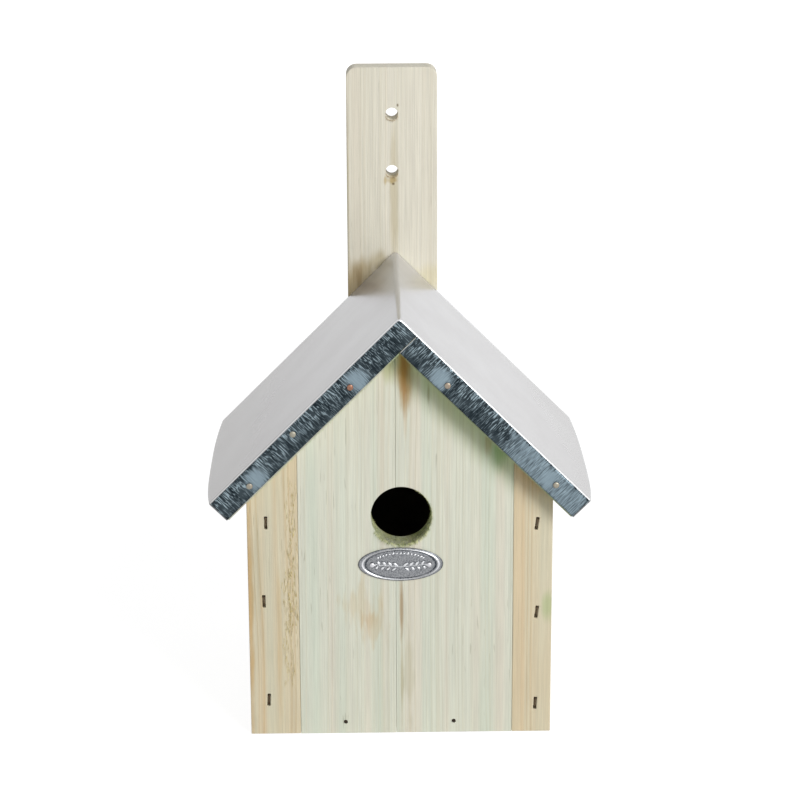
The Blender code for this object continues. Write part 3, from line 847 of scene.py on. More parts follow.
class Scatter:
    """The two trees: fittings set at given places, and fibres that grow along a guide."""

    def __init__(self) -> None:
        """Builds both trees."""
        self.fittings = self.fittings_tree()
        self.fibres = self.fibres_tree()

    @staticmethod
    def start(name: str, **inputs: str) -> tuple[Tree, dict[str, Socket]]:
        """Starts a tree.

        Args:
            name: The tree's name.
            inputs: Names and socket types of its inputs, after the geometry.

        Returns:
            The tree and its inputs by name.
        """
        group = bpy.data.node_groups.new(name, "GeometryNodeTree")
        for label, kind in {"Guide": "Geometry", **inputs}.items():
            group.interface.new_socket(label, in_out="INPUT", socket_type=f"NodeSocket{kind}")
        group.interface.new_socket("Made", in_out="OUTPUT", socket_type="NodeSocketGeometry")
        tree = Tree(group)
        given = tree.add("NodeGroupInput").outputs
        return tree, {socket.name: socket for socket in given if socket.name}

    @staticmethod
    def read(tree: Tree, name: str) -> Socket:
        """Reads a vector that the guide holds at each point."""
        kind = "GeometryNodeInputNamedAttribute"
        return tree.add(kind, {"Name": name}, data_type="FLOAT_VECTOR").outputs[0]

    @staticmethod
    def close(
        tree: Tree, given: dict[str, Socket], points: Socket, turn: Socket, size: Socket
    ) -> bpy.types.NodeTree:
        """Ends a tree: the shape at every point, as real geometry in one finish.

        Args:
            tree: The tree.
            given: Its inputs by name.
            points: Where the shapes go.
            turn: How each is turned.
            size: How large each is.

        Returns:
            The finished tree.
        """
        shape = tree.add("GeometryNodeObjectInfo", {"Object": given["Shape"]}).outputs["Geometry"]
        inputs = {"Points": points, "Instance": shape, "Rotation": turn, "Scale": size}
        copies = tree.add("GeometryNodeInstanceOnPoints", inputs).outputs[0]
        real = tree.add("GeometryNodeRealizeInstances", {0: copies}).outputs[0]
        inputs = {"Geometry": real, "Material": given["Finish"]}
        tree.add("NodeGroupOutput", {0: tree.add("GeometryNodeSetMaterial", inputs).outputs[0]})
        return tree.tree

    def fittings_tree(self) -> bpy.types.NodeTree:
        """One shape at each place, turned as the place says."""
        tree, given = self.start("set_fittings", Shape="Object", Size="Float", Finish="Material")
        turn = tree.add("FunctionNodeEulerToRotation", {0: self.read(tree, "turn")}).outputs[0]
        return self.close(tree, given, given["Guide"], turn, given["Size"])

    def fibres_tree(self) -> bpy.types.NodeTree:
        """Fibres of many lengths along a guide line, each leaning its own way."""
        tree, given = self.start(
            "grow_fibres",
            Shape="Object",
            Count="Int",
            Spread="Float",
            Shortest="Float",
            Longest="Float",
            Stray="Float",
            Seed="Int",
            Finish="Material",
        )
        line = tree.add("GeometryNodeMeshToCurve", {0: given["Guide"]}).outputs[0]
        inputs = {"Curve": line, "Count": given["Count"]}
        points = tree.add("GeometryNodeCurveToPoints", inputs, mode="COUNT").outputs[0]

        def chance(low: Value, high: Value, offset: int) -> Socket:
            """A random number between two ends, with its own share of the seed."""
            inputs = {2: low, 3: high, "Seed": tree.plus(given["Seed"], float(offset))}
            return tree.add("FunctionNodeRandomValue", inputs, data_type="FLOAT").outputs[1]

        def any_way(offset: int) -> Socket:
            """A random vector within 1 of the origin along each axis."""
            seed = tree.plus(given["Seed"], float(offset))
            inputs = {0: (-1.0, -1.0, -1.0), 1: (1.0, 1.0, 1.0), "Seed": seed}
            return tree.add("FunctionNodeRandomValue", inputs, data_type="FLOAT_VECTOR").outputs[0]

        stray = tree.scaled(any_way(1), given["Spread"])
        jitter = tree.vector("MULTIPLY", stray, self.read(tree, "room"))
        inputs = {"Geometry": points, "Offset": jitter}
        moved = tree.add("GeometryNodeSetPosition", inputs).outputs[0]
        aim = tree.vector("ADD", self.read(tree, "grow"), tree.scaled(any_way(2), given["Stray"]))
        upright = tree.add("FunctionNodeAlignRotationToVector", {"Vector": aim}, axis="Z").outputs[0]
        inputs = {"Axis": (0.0, 0.0, 1.0), "Angle": chance(0.0, math.tau, 3)}
        spin = tree.add("FunctionNodeAxisAngleToRotation", inputs).outputs[0]
        inputs = {"Rotation": upright, "Rotate By": spin}
        turn = tree.add("FunctionNodeRotateRotation", inputs, rotation_space="LOCAL").outputs[0]
        return self.close(tree, given, moved, turn, chance(given["Shortest"], given["Longest"], 4))

    @staticmethod
    def run(
        name: str,
        guide: bpy.types.Mesh,
        group: bpy.types.NodeTree,
        shape: bpy.types.Object,
        **inputs: object,
    ) -> bpy.types.Object:
        """Runs a tree on a guide and keeps the result as a plain mesh.

        Args:
            name: The new piece's name.
            guide: The points or line it works on.
            group: The tree.
            shape: The shape it repeats, which is let go afterwards.
            inputs: Its other inputs by name.

        Returns:
            The piece.
        """
        piece = piece_of(name, guide)
        modifier = piece.modifiers.new("make", "NODES")
        modifier.node_group = group
        inputs["Shape"] = shape
        for item in group.interface.items_tree:
            if item.item_type == "SOCKET" and item.in_out == "INPUT" and item.name in inputs:
                modifier[item.identifier] = inputs[item.name]
        settled(piece)
        bpy.data.objects.remove(shape)
        return piece


# Wood


@dataclass
class Board:
    """A CAD board with its long edges eased, in one finish.

    A stave is widened at its glued edges, to close the seam there.
    """

    node: str
    finish: Pine
    pith: Vec3
    grain: Grain = Grain.UPRIGHT
    widen_left: float = 0.0
    widen_right: float = 0.0
    easing: float = 0.0003
    sharp_angle: float = math.radians(30.0)
    flat_angle: float = math.radians(0.5)
    longest_left_sharp: float = 0.008

    def outline_edges(self, bm: bmesh.types.BMesh) -> set[bmesh.types.BMEdge]:
        """Finds the sharp edges that run together for some way, and not those of fittings' holes.

        Args:
            bm: The board.

        Returns:
            The edges to ease.
        """
        sharp = {e for e in bm.edges if e.is_manifold and e.calc_face_angle(0.0) > self.sharp_angle}
        wanted: set[bmesh.types.BMEdge] = set()
        while sharp:
            chain = [sharp.pop()]
            group = set(chain)
            while chain:
                for vert in chain.pop().verts:
                    found = [e for e in vert.link_edges if e in sharp]
                    sharp.difference_update(found)
                    chain += found
                    group.update(found)
            places = list(zip(*(v.co for e in group for v in e.verts)))
            if max(max(along) - min(along) for along in places) > self.longest_left_sharp:
                wanted |= group
        return wanted

    def build(self) -> bpy.types.Object:
        """Makes the board and puts it in place of its CAD node.

        Returns:
            The board.
        """
        bm = bmesh.new()
        bm.from_mesh(NODES[self.node].data)
        bmesh.ops.remove_doubles(bm, verts=bm.verts, dist=SAME_POINT)
        bmesh.ops.dissolve_limit(bm, angle_limit=self.flat_angle, verts=bm.verts, edges=bm.edges)
        low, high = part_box(self.node)
        for vert in bm.verts:
            if vert.co.x - low.x < SAME_POINT:
                vert.co.x -= self.widen_left
            elif high.x - vert.co.x < SAME_POINT:
                vert.co.x += self.widen_right
        weights = bm.edges.layers.float.new("bevel_weight_edge")
        for edge in self.outline_edges(bm):
            edge[weights] = 1.0
        finish = self.finish.build(self.node, self.pith, self.grain)
        board = piece_of(f"{self.node}_wood", finished(self.node, bm), finish)
        bevel = board.modifiers.new("ease", "BEVEL")
        bevel.limit_method = "WEIGHT"
        bevel.width = self.easing
        bevel.segments = 2
        bevel.use_clamp_overlap = False
        settled(board)
        for vert in board.data.vertices:
            vert.co.z = max(vert.co.z, low.z)
        return hand_over(board, self.finish.name, self.node)


def on_face(y: float, reach: float, *spots: tuple[float, ...]) -> tuple[Stain, ...]:
    """Lists stains on one upright face.

    Args:
        y: The face's place.
        reach: How deep the stains go.
        spots: For each, X, Z, half its width and height, its colour, its strength and how
            ragged it is.

    Returns:
        The stains.
    """
    return tuple(
        Stain((x, y, z), (wide, reach, high), (red, green, blue), strength, ragged)
        for x, z, wide, high, red, green, blue, strength, ragged in spots
    )


class Woodwork:
    """All the boards, each from its own piece of pine."""

    face: float = -0.065
    under_eave: Vec3 = (0.7071, 0.0, 0.7071)
    glue_seam: float = 0.0001

    def __init__(self) -> None:
        """Sets the finishes."""
        bore = Stain((0.0007, -0.053, 0.1232), (0.0260, 0.012, 0.0260), (204, 212, 140), 0.95, 0.3)
        self.green = Pine(
            "green_pine",
            stains=(
                # Resin at the gable's tip, and a drip from it.
                *on_face(
                    self.face,
                    0.02,
                    (0.0035, 0.199, 0.0055, 0.019, 192, 152, 86, 0.80, 0.5),
                    (0.0022, 0.206, 0.0046, 0.017, 242, 196, 108, 0.80, 0.4),
                    (-0.0060, 0.206, 0.0045, 0.012, 214, 214, 152, 0.50, 0.5),
                    (0.0150, 0.190, 0.0010, 0.007, 150, 130, 76, 0.40, 0.4),
                    (0.0030, 0.182, 0.0014, 0.018, 236, 206, 178, 0.40, 0.4),
                ),
                bore,
                # Streaks below the plate, warm smudges, and a green and brown painted shadow just under
                # the right flange.
                *on_face(
                    self.face,
                    0.02,
                    (0.0006, 0.071, 0.0013, 0.020, 190, 150, 104, 0.70, 0.3),
                    (0.0008, 0.030, 0.0010, 0.034, 200, 186, 150, 0.55, 0.3),
                    (-0.0200, 0.074, 0.0110, 0.012, 246, 230, 210, 0.55, 1.4),
                    (-0.0130, 0.060, 0.0080, 0.010, 246, 226, 204, 0.55, 1.4),
                    (0.0045, 0.036, 0.0030, 0.036, 208, 206, 182, 0.32, 0.9),
                    (0.052, 0.158, 0.0060, 0.013, 158, 204, 152, 0.65, 0.6),
                    (0.046, 0.163, 0.0030, 0.009, 214, 176, 130, 0.45, 0.5),
                ),
            ),
            # Painted shadow under the right flange of the roof.
            shades=(Shade(self.under_eave, 0.1330, 0.1530, (202, 220, 172), 0.75),),
        )
        self.yellow = Pine(
            "yellow_pine",
            pale=(216, 205, 177),
            cool=(208, 204, 180),
            warm=(216, 193, 156),
            line=(220, 194, 154),
            line_strength=0.5,
            cool_share=0.7,
            warm_share=0.6,
            stains=on_face(
                self.face,
                0.02,
                (0.0785, 0.072, 0.0050, 0.010, 216, 236, 206, 0.8, 0.3),
                (-0.0790, 0.080, 0.0022, 0.075, 236, 206, 160, 0.7, 0.5),
                (-0.0640, 0.050, 0.0016, 0.050, 252, 232, 204, 0.5, 0.5),
                (-0.0755, 0.088, 0.0030, 0.045, 240, 244, 244, 0.7, 0.5),
                (0.0720, 0.150, 0.0120, 0.016, 226, 202, 164, 0.6, 0.7),
            ),
            # Painted shadow under the right flange of the roof.
            shades=(Shade(self.under_eave, 0.1400, 0.1530, (210, 196, 164), 0.70),),
            torn=Stain((-0.0572, self.face, 0.088), (0.0042, 0.02, 0.064), (150, 138, 88), 0.60),
        )
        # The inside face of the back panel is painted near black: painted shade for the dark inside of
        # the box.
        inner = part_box("back_stave_middle")[0].y
        self.pale = Pine(
            "pale_pine",
            pale=(218, 211, 188),
            cool=(209, 211, 188),
            warm=(222, 200, 168),
            stains=on_face(inner, 0.006, (0.0, 0.105, 0.062, 0.105, 52, 48, 38, 0.97, 0.0)),
        )
        self.beige = Pine(
            "hanging_pine",
            pale=(225, 220, 204),
            cool=(217, 213, 195),
            warm=(222, 213, 194),
            line=(230, 221, 200),
            line_strength=0.26,
            ring_width=0.0021,
            # The top end and the walls of the holes are lightened: painted light, to make them as
            # bright as the front.
            end_tone_and_light=1.14,
            stains=(
                *on_face(0.066, 0.008, (-0.0005, 0.262, 0.0032, 0.050, 226, 218, 196, 0.7, 0.3)),
                # Rubbed and splintered spots round the two holes.
                *on_face(
                    0.066,
                    0.006,
                    (-0.0010, 0.2735, 0.0042, 0.0022, 214, 190, 128, 0.7, 1.2),
                    (-0.0008, 0.2715, 0.0010, 0.0009, 120, 100, 60, 0.8, 0.6),
                    (0.0016, 0.3155, 0.0007, 0.0010, 120, 104, 70, 0.8, 0.4),
                ),
                # The left edge line; a painted shadow of the roof on the board, along the left slope
                # where they meet; and a faint cream tint above the right slope.
                *on_face(
                    0.066,
                    0.008,
                    (-0.0264, 0.270, 0.0012, 0.070, 196, 190, 170, 0.7, 0.2),
                    (-0.0250, 0.2140, 0.0085, 0.0160, 184, 164, 122, 0.80, 0.3),
                    (-0.0170, 0.2205, 0.0080, 0.0110, 190, 172, 132, 0.70, 0.3),
                    (-0.0090, 0.2270, 0.0070, 0.0080, 196, 182, 146, 0.60, 0.3),
                    (0.0200, 0.2180, 0.0110, 0.0090, 246, 240, 208, 0.50, 0.3),
                ),
            ),
        )

    def boards(self) -> list[Board]:
        """Lists the boards.

        Returns:
            The boards, front first.
        """
        left, right = {"widen_left": self.glue_seam}, {"widen_right": self.glue_seam}
        y, x = Grain.FRONT_TO_BACK, Grain.ACROSS
        return [
            Board("front_stave_far_left", self.yellow, (-0.155, 0.010, 0.0), easing=0.0004, **right),
            Board("front_stave_left", self.green, (-0.150, -0.110, 0.0), **left, **right),
            Board("front_stave_right", self.green, (0.170, -0.080, 0.0), **left, **right),
            Board("front_stave_far_right", self.yellow, (0.190, -0.040, 0.0), easing=0.0004, **left),
            Board("back_stave_left", self.pale, (-0.180, 0.130, 0.0), **right),
            Board("back_stave_middle", self.pale, (0.090, 0.160, 0.0), **left, **right),
            Board("back_stave_right", self.pale, (0.175, 0.090, 0.0), **left),
            Board("side_board_left", self.pale, (-0.140, -0.070, 0.0)),
            Board("side_board_right", self.pale, (0.150, 0.085, 0.0)),
            Board("floor_board", self.pale, (0.060, 0.110, 0.0), x),
            Board("roof_board_left", self.green, (-0.150, -0.020, 0.0), y),
            Board("roof_board_right", self.green, (0.160, -0.030, 0.0), y),
            Board("hanging_board", self.beige, (-0.120, 0.020, 0.0), easing=0.0006),
        ]

    def build(self) -> None:
        """Makes every board."""
        for board in self.boards():
            board.build()


# Roof sheet


@dataclass(frozen=True)
class Station:
    """A place on the sheet's outline across the ridge: where it is and which way is inwards."""

    x: float
    z: float
    into_x: float
    into_z: float
    side: int
    along: float
    depth: float
    stretch: float


@dataclass
class RoofSheet:
    """One folded sheet: slopes round a ridge, lips at the eaves and flanges at both ends."""

    apex: float = 0.2340
    pitch: float = math.radians(45.0)
    eave: float = 0.13984
    bow: float = 0.0042
    ridge_radius: float = 0.0025
    thickness: float = 0.0005
    flange_depth: float = 0.0130
    fold_radius: float = 0.0009
    seam_gap: float = 0.0003
    cut_edge: float = 0.0004
    ripple: float = 0.00012
    wave: float = 0.00009
    slope_steps: int = 96
    length_steps: int = 60
    arc_steps: int = 6
    flange_steps: int = 12
    dent: float = 0.00030
    dent_radius: float = 0.0042
    patch_above_nail: float = 0.0052
    patch_radius: float = 0.0068
    reflection_from: dict[int, float] = field(default_factory=lambda: {-1: 0.150, 1: 0.080})
    sides_apart: float = 0.3
    same_end: float = 0.001
    weld: float = 0.000004
    nails: list[Vector] = field(default_factory=list)
    patches: list[tuple[Vector, float]] = field(default_factory=list)

    def __post_init__(self) -> None:
        """Reads the sheet's ends and its nails from the frame."""
        low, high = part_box("roof_sheet")
        self.front, self.rear = low.y, high.y
        self.sine, self.cosine = math.sin(self.pitch), math.cos(self.pitch)
        for name in NODES:
            if "flange_nail" in name:
                first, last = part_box(name)
                y = self.front if name.startswith("front") else self.rear
                nail = Vector(((first.x + last.x) / 2, y, (first.z + last.z) / 2))
                up = Vector((-self.cosine if nail.x > 0 else self.cosine, 0.0, self.sine))
                strength = 0.35 if name.endswith("left_2") else 1.0
                self.nails.append(nail)
                self.patches.append((nail + self.patch_above_nail * up, strength))

    def slope_point(self, side: int, along: float, depth: float) -> tuple[float, float]:
        """A point so far down a slope and so deep below it, as X and Z."""
        x = along * self.cosine - depth * self.sine
        return side * x, self.apex - along * self.sine - depth * self.cosine

    def into(self, side: int) -> Vector:
        """The way into the house, square to a slope, as X and Z."""
        return Vector((-side * self.sine, -self.cosine))

    def down(self, side: int) -> Vector:
        """The way down a slope, as X and Z."""
        return Vector((side * self.cosine, -self.sine))

    def station(self, side: int, along: float, depth: float, into: Vector, stretch: float) -> Station:
        """A station given by how far down and how deep it is."""
        return Station(*self.slope_point(side, along, depth), *into, side, along, depth, stretch)

    def flange_rows(self) -> list[float]:
        """How deep each row of a flange or a lip is."""
        span, steps = self.flange_depth - self.fold_radius, self.flange_steps
        return [self.fold_radius + span * step / steps for step in range(steps + 1)]

    def slope_stations(self, side: int) -> list[Station]:
        """The stations of one slope from the ridge to the foot of its lip.

        Args:
            side: The slope's side.

        Returns:
            Its stations in order.
        """
        radius, steps = self.fold_radius, self.slope_steps
        first, last = self.ridge_radius, self.eave - radius
        places = {first + (last - first) * step / steps for step in range(steps + 1)}
        seam = self.flange_depth + self.seam_gap
        places |= {seam, seam + self.cut_edge}
        into, down = self.into(side), self.down(side)
        stations = [self.station(side, a, 0.0, into, a / self.eave) for a in sorted(places)]
        for step in range(1, self.arc_steps + 1):
            angle = math.pi / 2 * step / self.arc_steps
            way = -into * math.cos(angle) + down * math.sin(angle)
            along, depth = last + radius * math.sin(angle), radius - radius * math.cos(angle)
            stations.append(self.station(side, along, depth, -way, 1.0))
        for depth in self.flange_rows()[1:]:
            stations.append(self.station(side, self.eave, depth, -down, 1.0))
        return stations

    def ridge_stations(self) -> list[Station]:
        """The stations round the ridge, between the two slopes."""
        centre = self.apex - self.ridge_radius / self.cosine
        steps = 2 * self.arc_steps
        found = []
        for step in range(1, steps):
            angle = self.pitch * (2.0 * step / steps - 1.0)
            sine, cosine = math.sin(angle), math.cos(angle)
            x, z = self.ridge_radius * sine, centre + self.ridge_radius * cosine
            side, along = 1 if angle > 0 else -1, abs(angle) * self.ridge_radius
            found.append(Station(x, z, -sine, -cosine, side, along, 0.0, 0.0))
        return found

    def sag(self, x: float, y: float, z: float) -> float:
        """How far the thin sheet lies in from its ideal surface, which is never outside it."""
        slow = noise.noise(Vector((x * 22.0, y * 20.0, z * 22.0)))
        quick = noise.noise(Vector((x * 85.0 + 5.0, y * 40.0, z * 85.0)))
        return self.ripple * (0.5 + 0.5 * max(-1.0, min(1.0, 1.3 * slow + 0.5 * quick)))

    def mark(
        self, vert: bmesh.types.BMVert, place: Vec3, folded: float, smooth: float, burnished: float
    ) -> None:
        """Sets what the finish reads at a point.

        Args:
            vert: The point.
            place: Its side and how far down the slope it is, its Y and its depth.
            folded: 0 on the slopes, 1 on a flange.
            smooth: The share of the pale patch on the flange, a painted reflection.
            burnished: The share of the painted highlight along the fold.
        """
        vert[self.place_layer] = Vector(place)
        vert[self.folded_layer] = folded
        vert[self.patch_layer] = smooth
        vert[self.highlight_layer] = burnished

    def vertex(
        self,
        bm: bmesh.types.BMesh,
        s: Station,
        y: float,
        deeper: float = 0.0,
        folded: float = 0.0,
        burnished: float = 0.0,
    ) -> bmesh.types.BMVert:
        """Adds a point of the sheet.

        Args:
            bm: The mesh.
            s: Its station.
            y: Its place in depth.
            deeper: How far it is in from the station.
            folded: 0 on the slopes, 1 on a flange.
            burnished: The share of the painted highlight along the fold.

        Returns:
            The vertex, with its attributes set.
        """
        share = (y - self.front) / (self.rear - self.front)
        way = self.down(s.side) * (self.bow * (1.0 - abs(2.0 * share - 1.0) ** 3) * s.stretch)
        inwards = deeper + self.sag(s.x, y, s.z) * (1.0 - min(1.0, s.depth / self.flange_depth))
        vert = bm.verts.new((s.x + way[0] + s.into_x * inwards, y, s.z + way[1] + s.into_z * inwards))
        on_lip = s.stretch == 1.0
        folded = max(folded, 0.55 * min(1.0, s.depth / 0.002) if on_lip else 0.0)
        # Painted highlight along the fold, stronger on the right.
        highlight = min(1.0, 3.0 * burnished) if s.side > 0 else burnished
        place = (s.side * (self.sides_apart + s.along), y, s.depth + deeper)
        self.mark(vert, place, folded, 0.0, 0.0 if on_lip else highlight)
        return vert

    def end_rows(self, at_rear: bool) -> list[tuple[float, float, float, float]]:
        """The rows of a fold at one end, from its flange up: Y, depth, folded and painted highlight."""
        rows = []
        for step in range(self.arc_steps + 1):
            angle = math.pi / 2 * (1.0 - step / self.arc_steps)
            inwards = self.fold_radius * (1.0 - math.sin(angle))
            y = self.rear - inwards if at_rear else self.front + inwards
            folded = max(0.0, math.sin(angle) - 0.85) / 0.15
            burnished = max(0.0, 1.0 - abs(angle - 0.65) / 0.55)
            rows.append((y, self.fold_radius * (1.0 - math.cos(angle)), folded, burnished))
        return rows

    def flange(
        self, bm: bmesh.types.BMesh, stations: Sequence[Station], side: int, at_rear: bool
    ) -> None:
        """Adds the flat flange under the fold at one end of one slope.

        Args:
            bm: The mesh.
            stations: The stations it hangs from, in order.
            side: The slope's side.
            at_rear: Which end.
        """
        y, inwards = (self.rear, -1.0) if at_rear else (self.front, 1.0)
        nails = [nail for nail in self.nails if abs(nail.y - y) < self.same_end]
        columns = []
        for number, s in enumerate(stations):
            x, z = s.x + s.into_x * self.fold_radius, s.z + s.into_z * self.fold_radius
            top = side * -x * self.sine + (self.apex - z) * self.cosine
            along = side * x * self.cosine + (self.apex - z) * self.sine
            column = []
            for row in self.flange_rows():
                share = (row - self.fold_radius) / (self.flange_depth - self.fold_radius)
                depth = top + (self.flange_depth - top) * share
                sag = self.sag(s.x, y, s.z) * (1.0 - share)
                x, z = self.slope_point(side, along, depth)
                x, z = x + s.into_x * sag, z + s.into_z * sag
                near = min((math.dist((x, z), (n.x, n.z)) for n in nails), default=1.0)
                hollow = self.dent * math.exp(-((near / self.dent_radius) ** 2))
                swell = 0.5 + 0.5 * noise.noise(Vector((along * 60.0 * side, depth * 70.0, y)))
                vert = bm.verts.new((x, y + inwards * (hollow + self.wave * swell * share), z))
                place = (side * (self.sides_apart + along), y, depth)
                # The pale patch is painted reflection; the right flange's first column, at the seam,
                # gets a painted highlight.
                smooth = self.patch(side, along, depth, Vector((x, y, z)))
                self.mark(vert, place, 1.0, smooth, 0.9 if side > 0 and number == 0 else 0.0)
                column.append(vert)
            columns.append(column)
        skin(bm, columns)

    def patch(self, side: int, along: float, depth: float, point: Vector) -> float:
        """Works out the share of the pale patch on the flange, a painted reflection.

        Args:
            side: The slope's side.
            along: How far down the slope the point is.
            depth: How deep it is.
            point: The point.

        Returns:
            1 just above the nails and towards the foot of the right flange, 0 where it is streaked.
        """
        ragged = noise.noise(Vector((along * 240.0, depth * 160.0, side * 3.0)))
        near = 0.0
        for centre, strength in self.patches:
            if abs(centre.y - point.y) < self.same_end:
                away = (point - centre).length / self.patch_radius
                near = max(near, strength * math.exp(-(away**3)))
        foot = (along - self.reflection_from[side]) / 0.012 + 0.6 * ragged
        return max(0.0, min(1.0, max(near + 0.15 * ragged * near, min(1.0, foot) * 0.66)))

    def build(self, material: bpy.types.Material) -> bpy.types.Object:
        """Makes the sheet and puts it in place of its CAD node.

        Args:
            material: Its finish.

        Returns:
            The sheet.
        """
        bm = bmesh.new()
        self.place_layer = bm.verts.layers.float_vector.new("sheet_place")
        self.folded_layer = bm.verts.layers.float.new("folded")
        self.patch_layer = bm.verts.layers.float.new("smooth_patch")
        self.highlight_layer = bm.verts.layers.float.new("burnished")
        left, ridge, right = self.slope_stations(-1), self.ridge_stations(), self.slope_stations(1)
        front, rear = self.end_rows(False), self.end_rows(True)
        first, last, steps = front[-1][0], rear[-1][0], self.length_steps
        middle = [(first + (last - first) * step / steps,) for step in range(1, steps)]
        rows = [*front, *middle, *reversed(rear)]
        outline = [*reversed(left), *ridge, *right]
        skin(bm, [[self.vertex(bm, s, *row) for row in rows] for s in outline])
        left, right = ([s for s in slope if s.depth == 0.0] for slope in (left, right))
        past_seam = self.flange_depth + self.seam_gap - SAME_POINT
        for at_rear in (False, True):
            self.flange(bm, [*reversed(left), *ridge, right[0]], -1, at_rear)
            self.flange(bm, [s for s in right if s.along >= past_seam], 1, at_rear)
        bmesh.ops.remove_doubles(bm, verts=bm.verts, dist=self.weld)
        bmesh.ops.recalc_face_normals(bm, faces=bm.faces)
        if max(bm.faces, key=lambda f: f.calc_center_median().z).normal.z < 0:
            bmesh.ops.reverse_faces(bm, faces=bm.faces)
        sheet = piece_of("roof_sheet_metal", finished("roof_sheet_metal", bm, smooth=True), material)
        wall = sheet.modifiers.new("thickness", "SOLIDIFY")
        wall.thickness = self.thickness
        wall.offset = -1.0
        return hand_over(settled(sheet), "galvanised_sheet", "roof_sheet")


# Plate


@dataclass(frozen=True)
class Leaf:
    """A pressed leaf: its middle, half its length and width, and its lean, in millimetres."""

    x: float
    z: float
    length: float
    width: float
    angle: float

    def within(self, x: float, z: float) -> tuple[float, float]:
        """A place as shares of the leaf's length and width from its middle."""
        dx, dz = x - self.x, z - self.z
        cosine, sine = math.cos(self.angle), math.sin(self.angle)
        return (dx * cosine + dz * sine) / self.length, (dz * cosine - dx * sine) / self.width


@dataclass
class OvalPlate:
    """A pressed oval plate with a raised rim, two leafy sprigs and a border of small leaves."""

    rings: int = 84
    turns: int = 288
    rim: float = 0.90
    border: float = 0.66
    half_width: float = 22.3
    half_height: float = 9.3
    ornaments: int = 15
    leaf_reach: float = 2.5
    field_height: float = 0.00038
    dome: float = 0.00022
    relief_height: float = 0.00040
    edge_drop: float = 0.00030

    def leaves(self) -> list[Leaf]:
        """Lists the pressed leaves: two sprigs that grow from the middle, and a border over them."""
        found = []
        for side in (-1, 1):
            for step in range(4):
                x, rise = side * (2.6 + 3.0 * step), -1.3 + 0.30 * step
                lean = side * (0.95 - 0.08 * step)
                upper, lower = 1.75 - 0.15 * step, 1.6 - 0.15 * step
                found.append(Leaf(x, rise + 1.25, upper, 0.72, math.pi / 2 - lean))
                found.append(Leaf(x + side * 0.9, rise - 1.35, lower, 0.66, -math.pi / 2 + lean))
            found.append(Leaf(side * 14.2, -0.3, 1.5, 0.62, side * 0.2))
        for step in range(self.ornaments):
            angle = math.radians(36.0 + 108.0 * step / (self.ornaments - 1))
            x = self.half_width * self.border * math.cos(angle)
            z = self.half_height * self.border * math.sin(angle)
            found.append(Leaf(x, z, 0.95 if step % 2 else 0.6, 0.5, 0.9 - 0.9 * math.cos(angle)))
        return found

    def relief(self, x: float, z: float, share: float, leaves: Sequence[Leaf]) -> float:
        """Works out the pressed relief.

        Args:
            x: Across from the middle, in millimetres.
            z: Up from the middle, in millimetres.
            share: 0 in the middle to 1 at the edge.
            leaves: The leaves.

        Returns:
            The height over the plate's field, from below 0 in the grooves up to 1.
        """
        height = math.exp(-(((share - self.rim) / 0.021) ** 2))
        groove = 0.45 * math.exp(-(((share - self.rim + 0.070) / 0.022) ** 2))
        for leaf in leaves:
            if abs(x - leaf.x) > self.leaf_reach or abs(z - leaf.z) > self.leaf_reach:
                continue
            u, v = leaf.within(x, z)
            near = 1.0 - u * u - v * v / max(0.05, 1.0 - 0.75 * abs(u))
            if near > 0.0:
                height = max(height, 0.9 * near**0.5 - 0.40 * math.exp(-((v / 0.16) ** 2)))
            elif near > -1.2:
                groove = max(groove, 0.5 * (1.0 + near / 1.2))
        if abs(x) < 14.0:
            stem = (z + 1.35 - 0.10 * abs(x)) / 0.17
            height = max(height, 0.6 * math.exp(-(stem**2)))
        return height - groove * (1.0 - min(1.0, 2.0 * height))

    def build(self, material: bpy.types.Material) -> bpy.types.Object:
        """Makes the plate and puts it in place of its CAD node.

        Args:
            material: Its finish.

        Returns:
            The plate.
        """
        low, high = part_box("oval_plate")
        middle, half = (low + high) / 2, (high - low) / 2
        leaves = self.leaves()
        bm = bmesh.new()
        layer = bm.verts.layers.float.new("relief")
        rows = []
        for ring in range(self.rings + 1):
            share = ring / self.rings
            edge = max(0.0, (share - 0.965) / 0.035)
            row = []
            for angle in circle(self.turns) if ring else [0.0]:
                x, z = half.x * share * math.cos(angle), half.z * share * math.sin(angle)
                relief = self.relief(1000 * x, 1000 * z, share, leaves)
                rise = self.field_height + self.dome * (1.0 - share * share)
                rise += self.relief_height * relief - self.edge_drop * edge * edge
                vert = bm.verts.new((middle.x + x, high.y - rise, middle.z + z))
                on_rim = share > self.rim - 0.08
                # The relief value is painted bright on the raised places, a painted highlight, and on
                # the rim most where it faces up and right and down and left; it is darker at the very
                # edge.
                worn = 0.35 + 0.65 * abs(math.cos(angle - 0.65)) if on_rim else 1.0
                vert[layer] = max(0.0, min(1.0, 0.25 + 0.74 * relief * worn - 0.22 * edge))
                row.append(vert)
            rows.append(row)
        back = [bm.verts.new((v.co.x, high.y, v.co.z)) for v in rows[-1]]
        for vert in back:
            vert[layer] = 0.3
        skin(bm, [*rows, back], closed=True)
        bm.faces.new(list(reversed(back)))
        mesh = finished("oval_plate_metal", bm, outwards=True, smooth=True)
        return hand_over(piece_of(mesh.name, mesh, material), "plate_aluminium", "oval_plate")


# Fittings


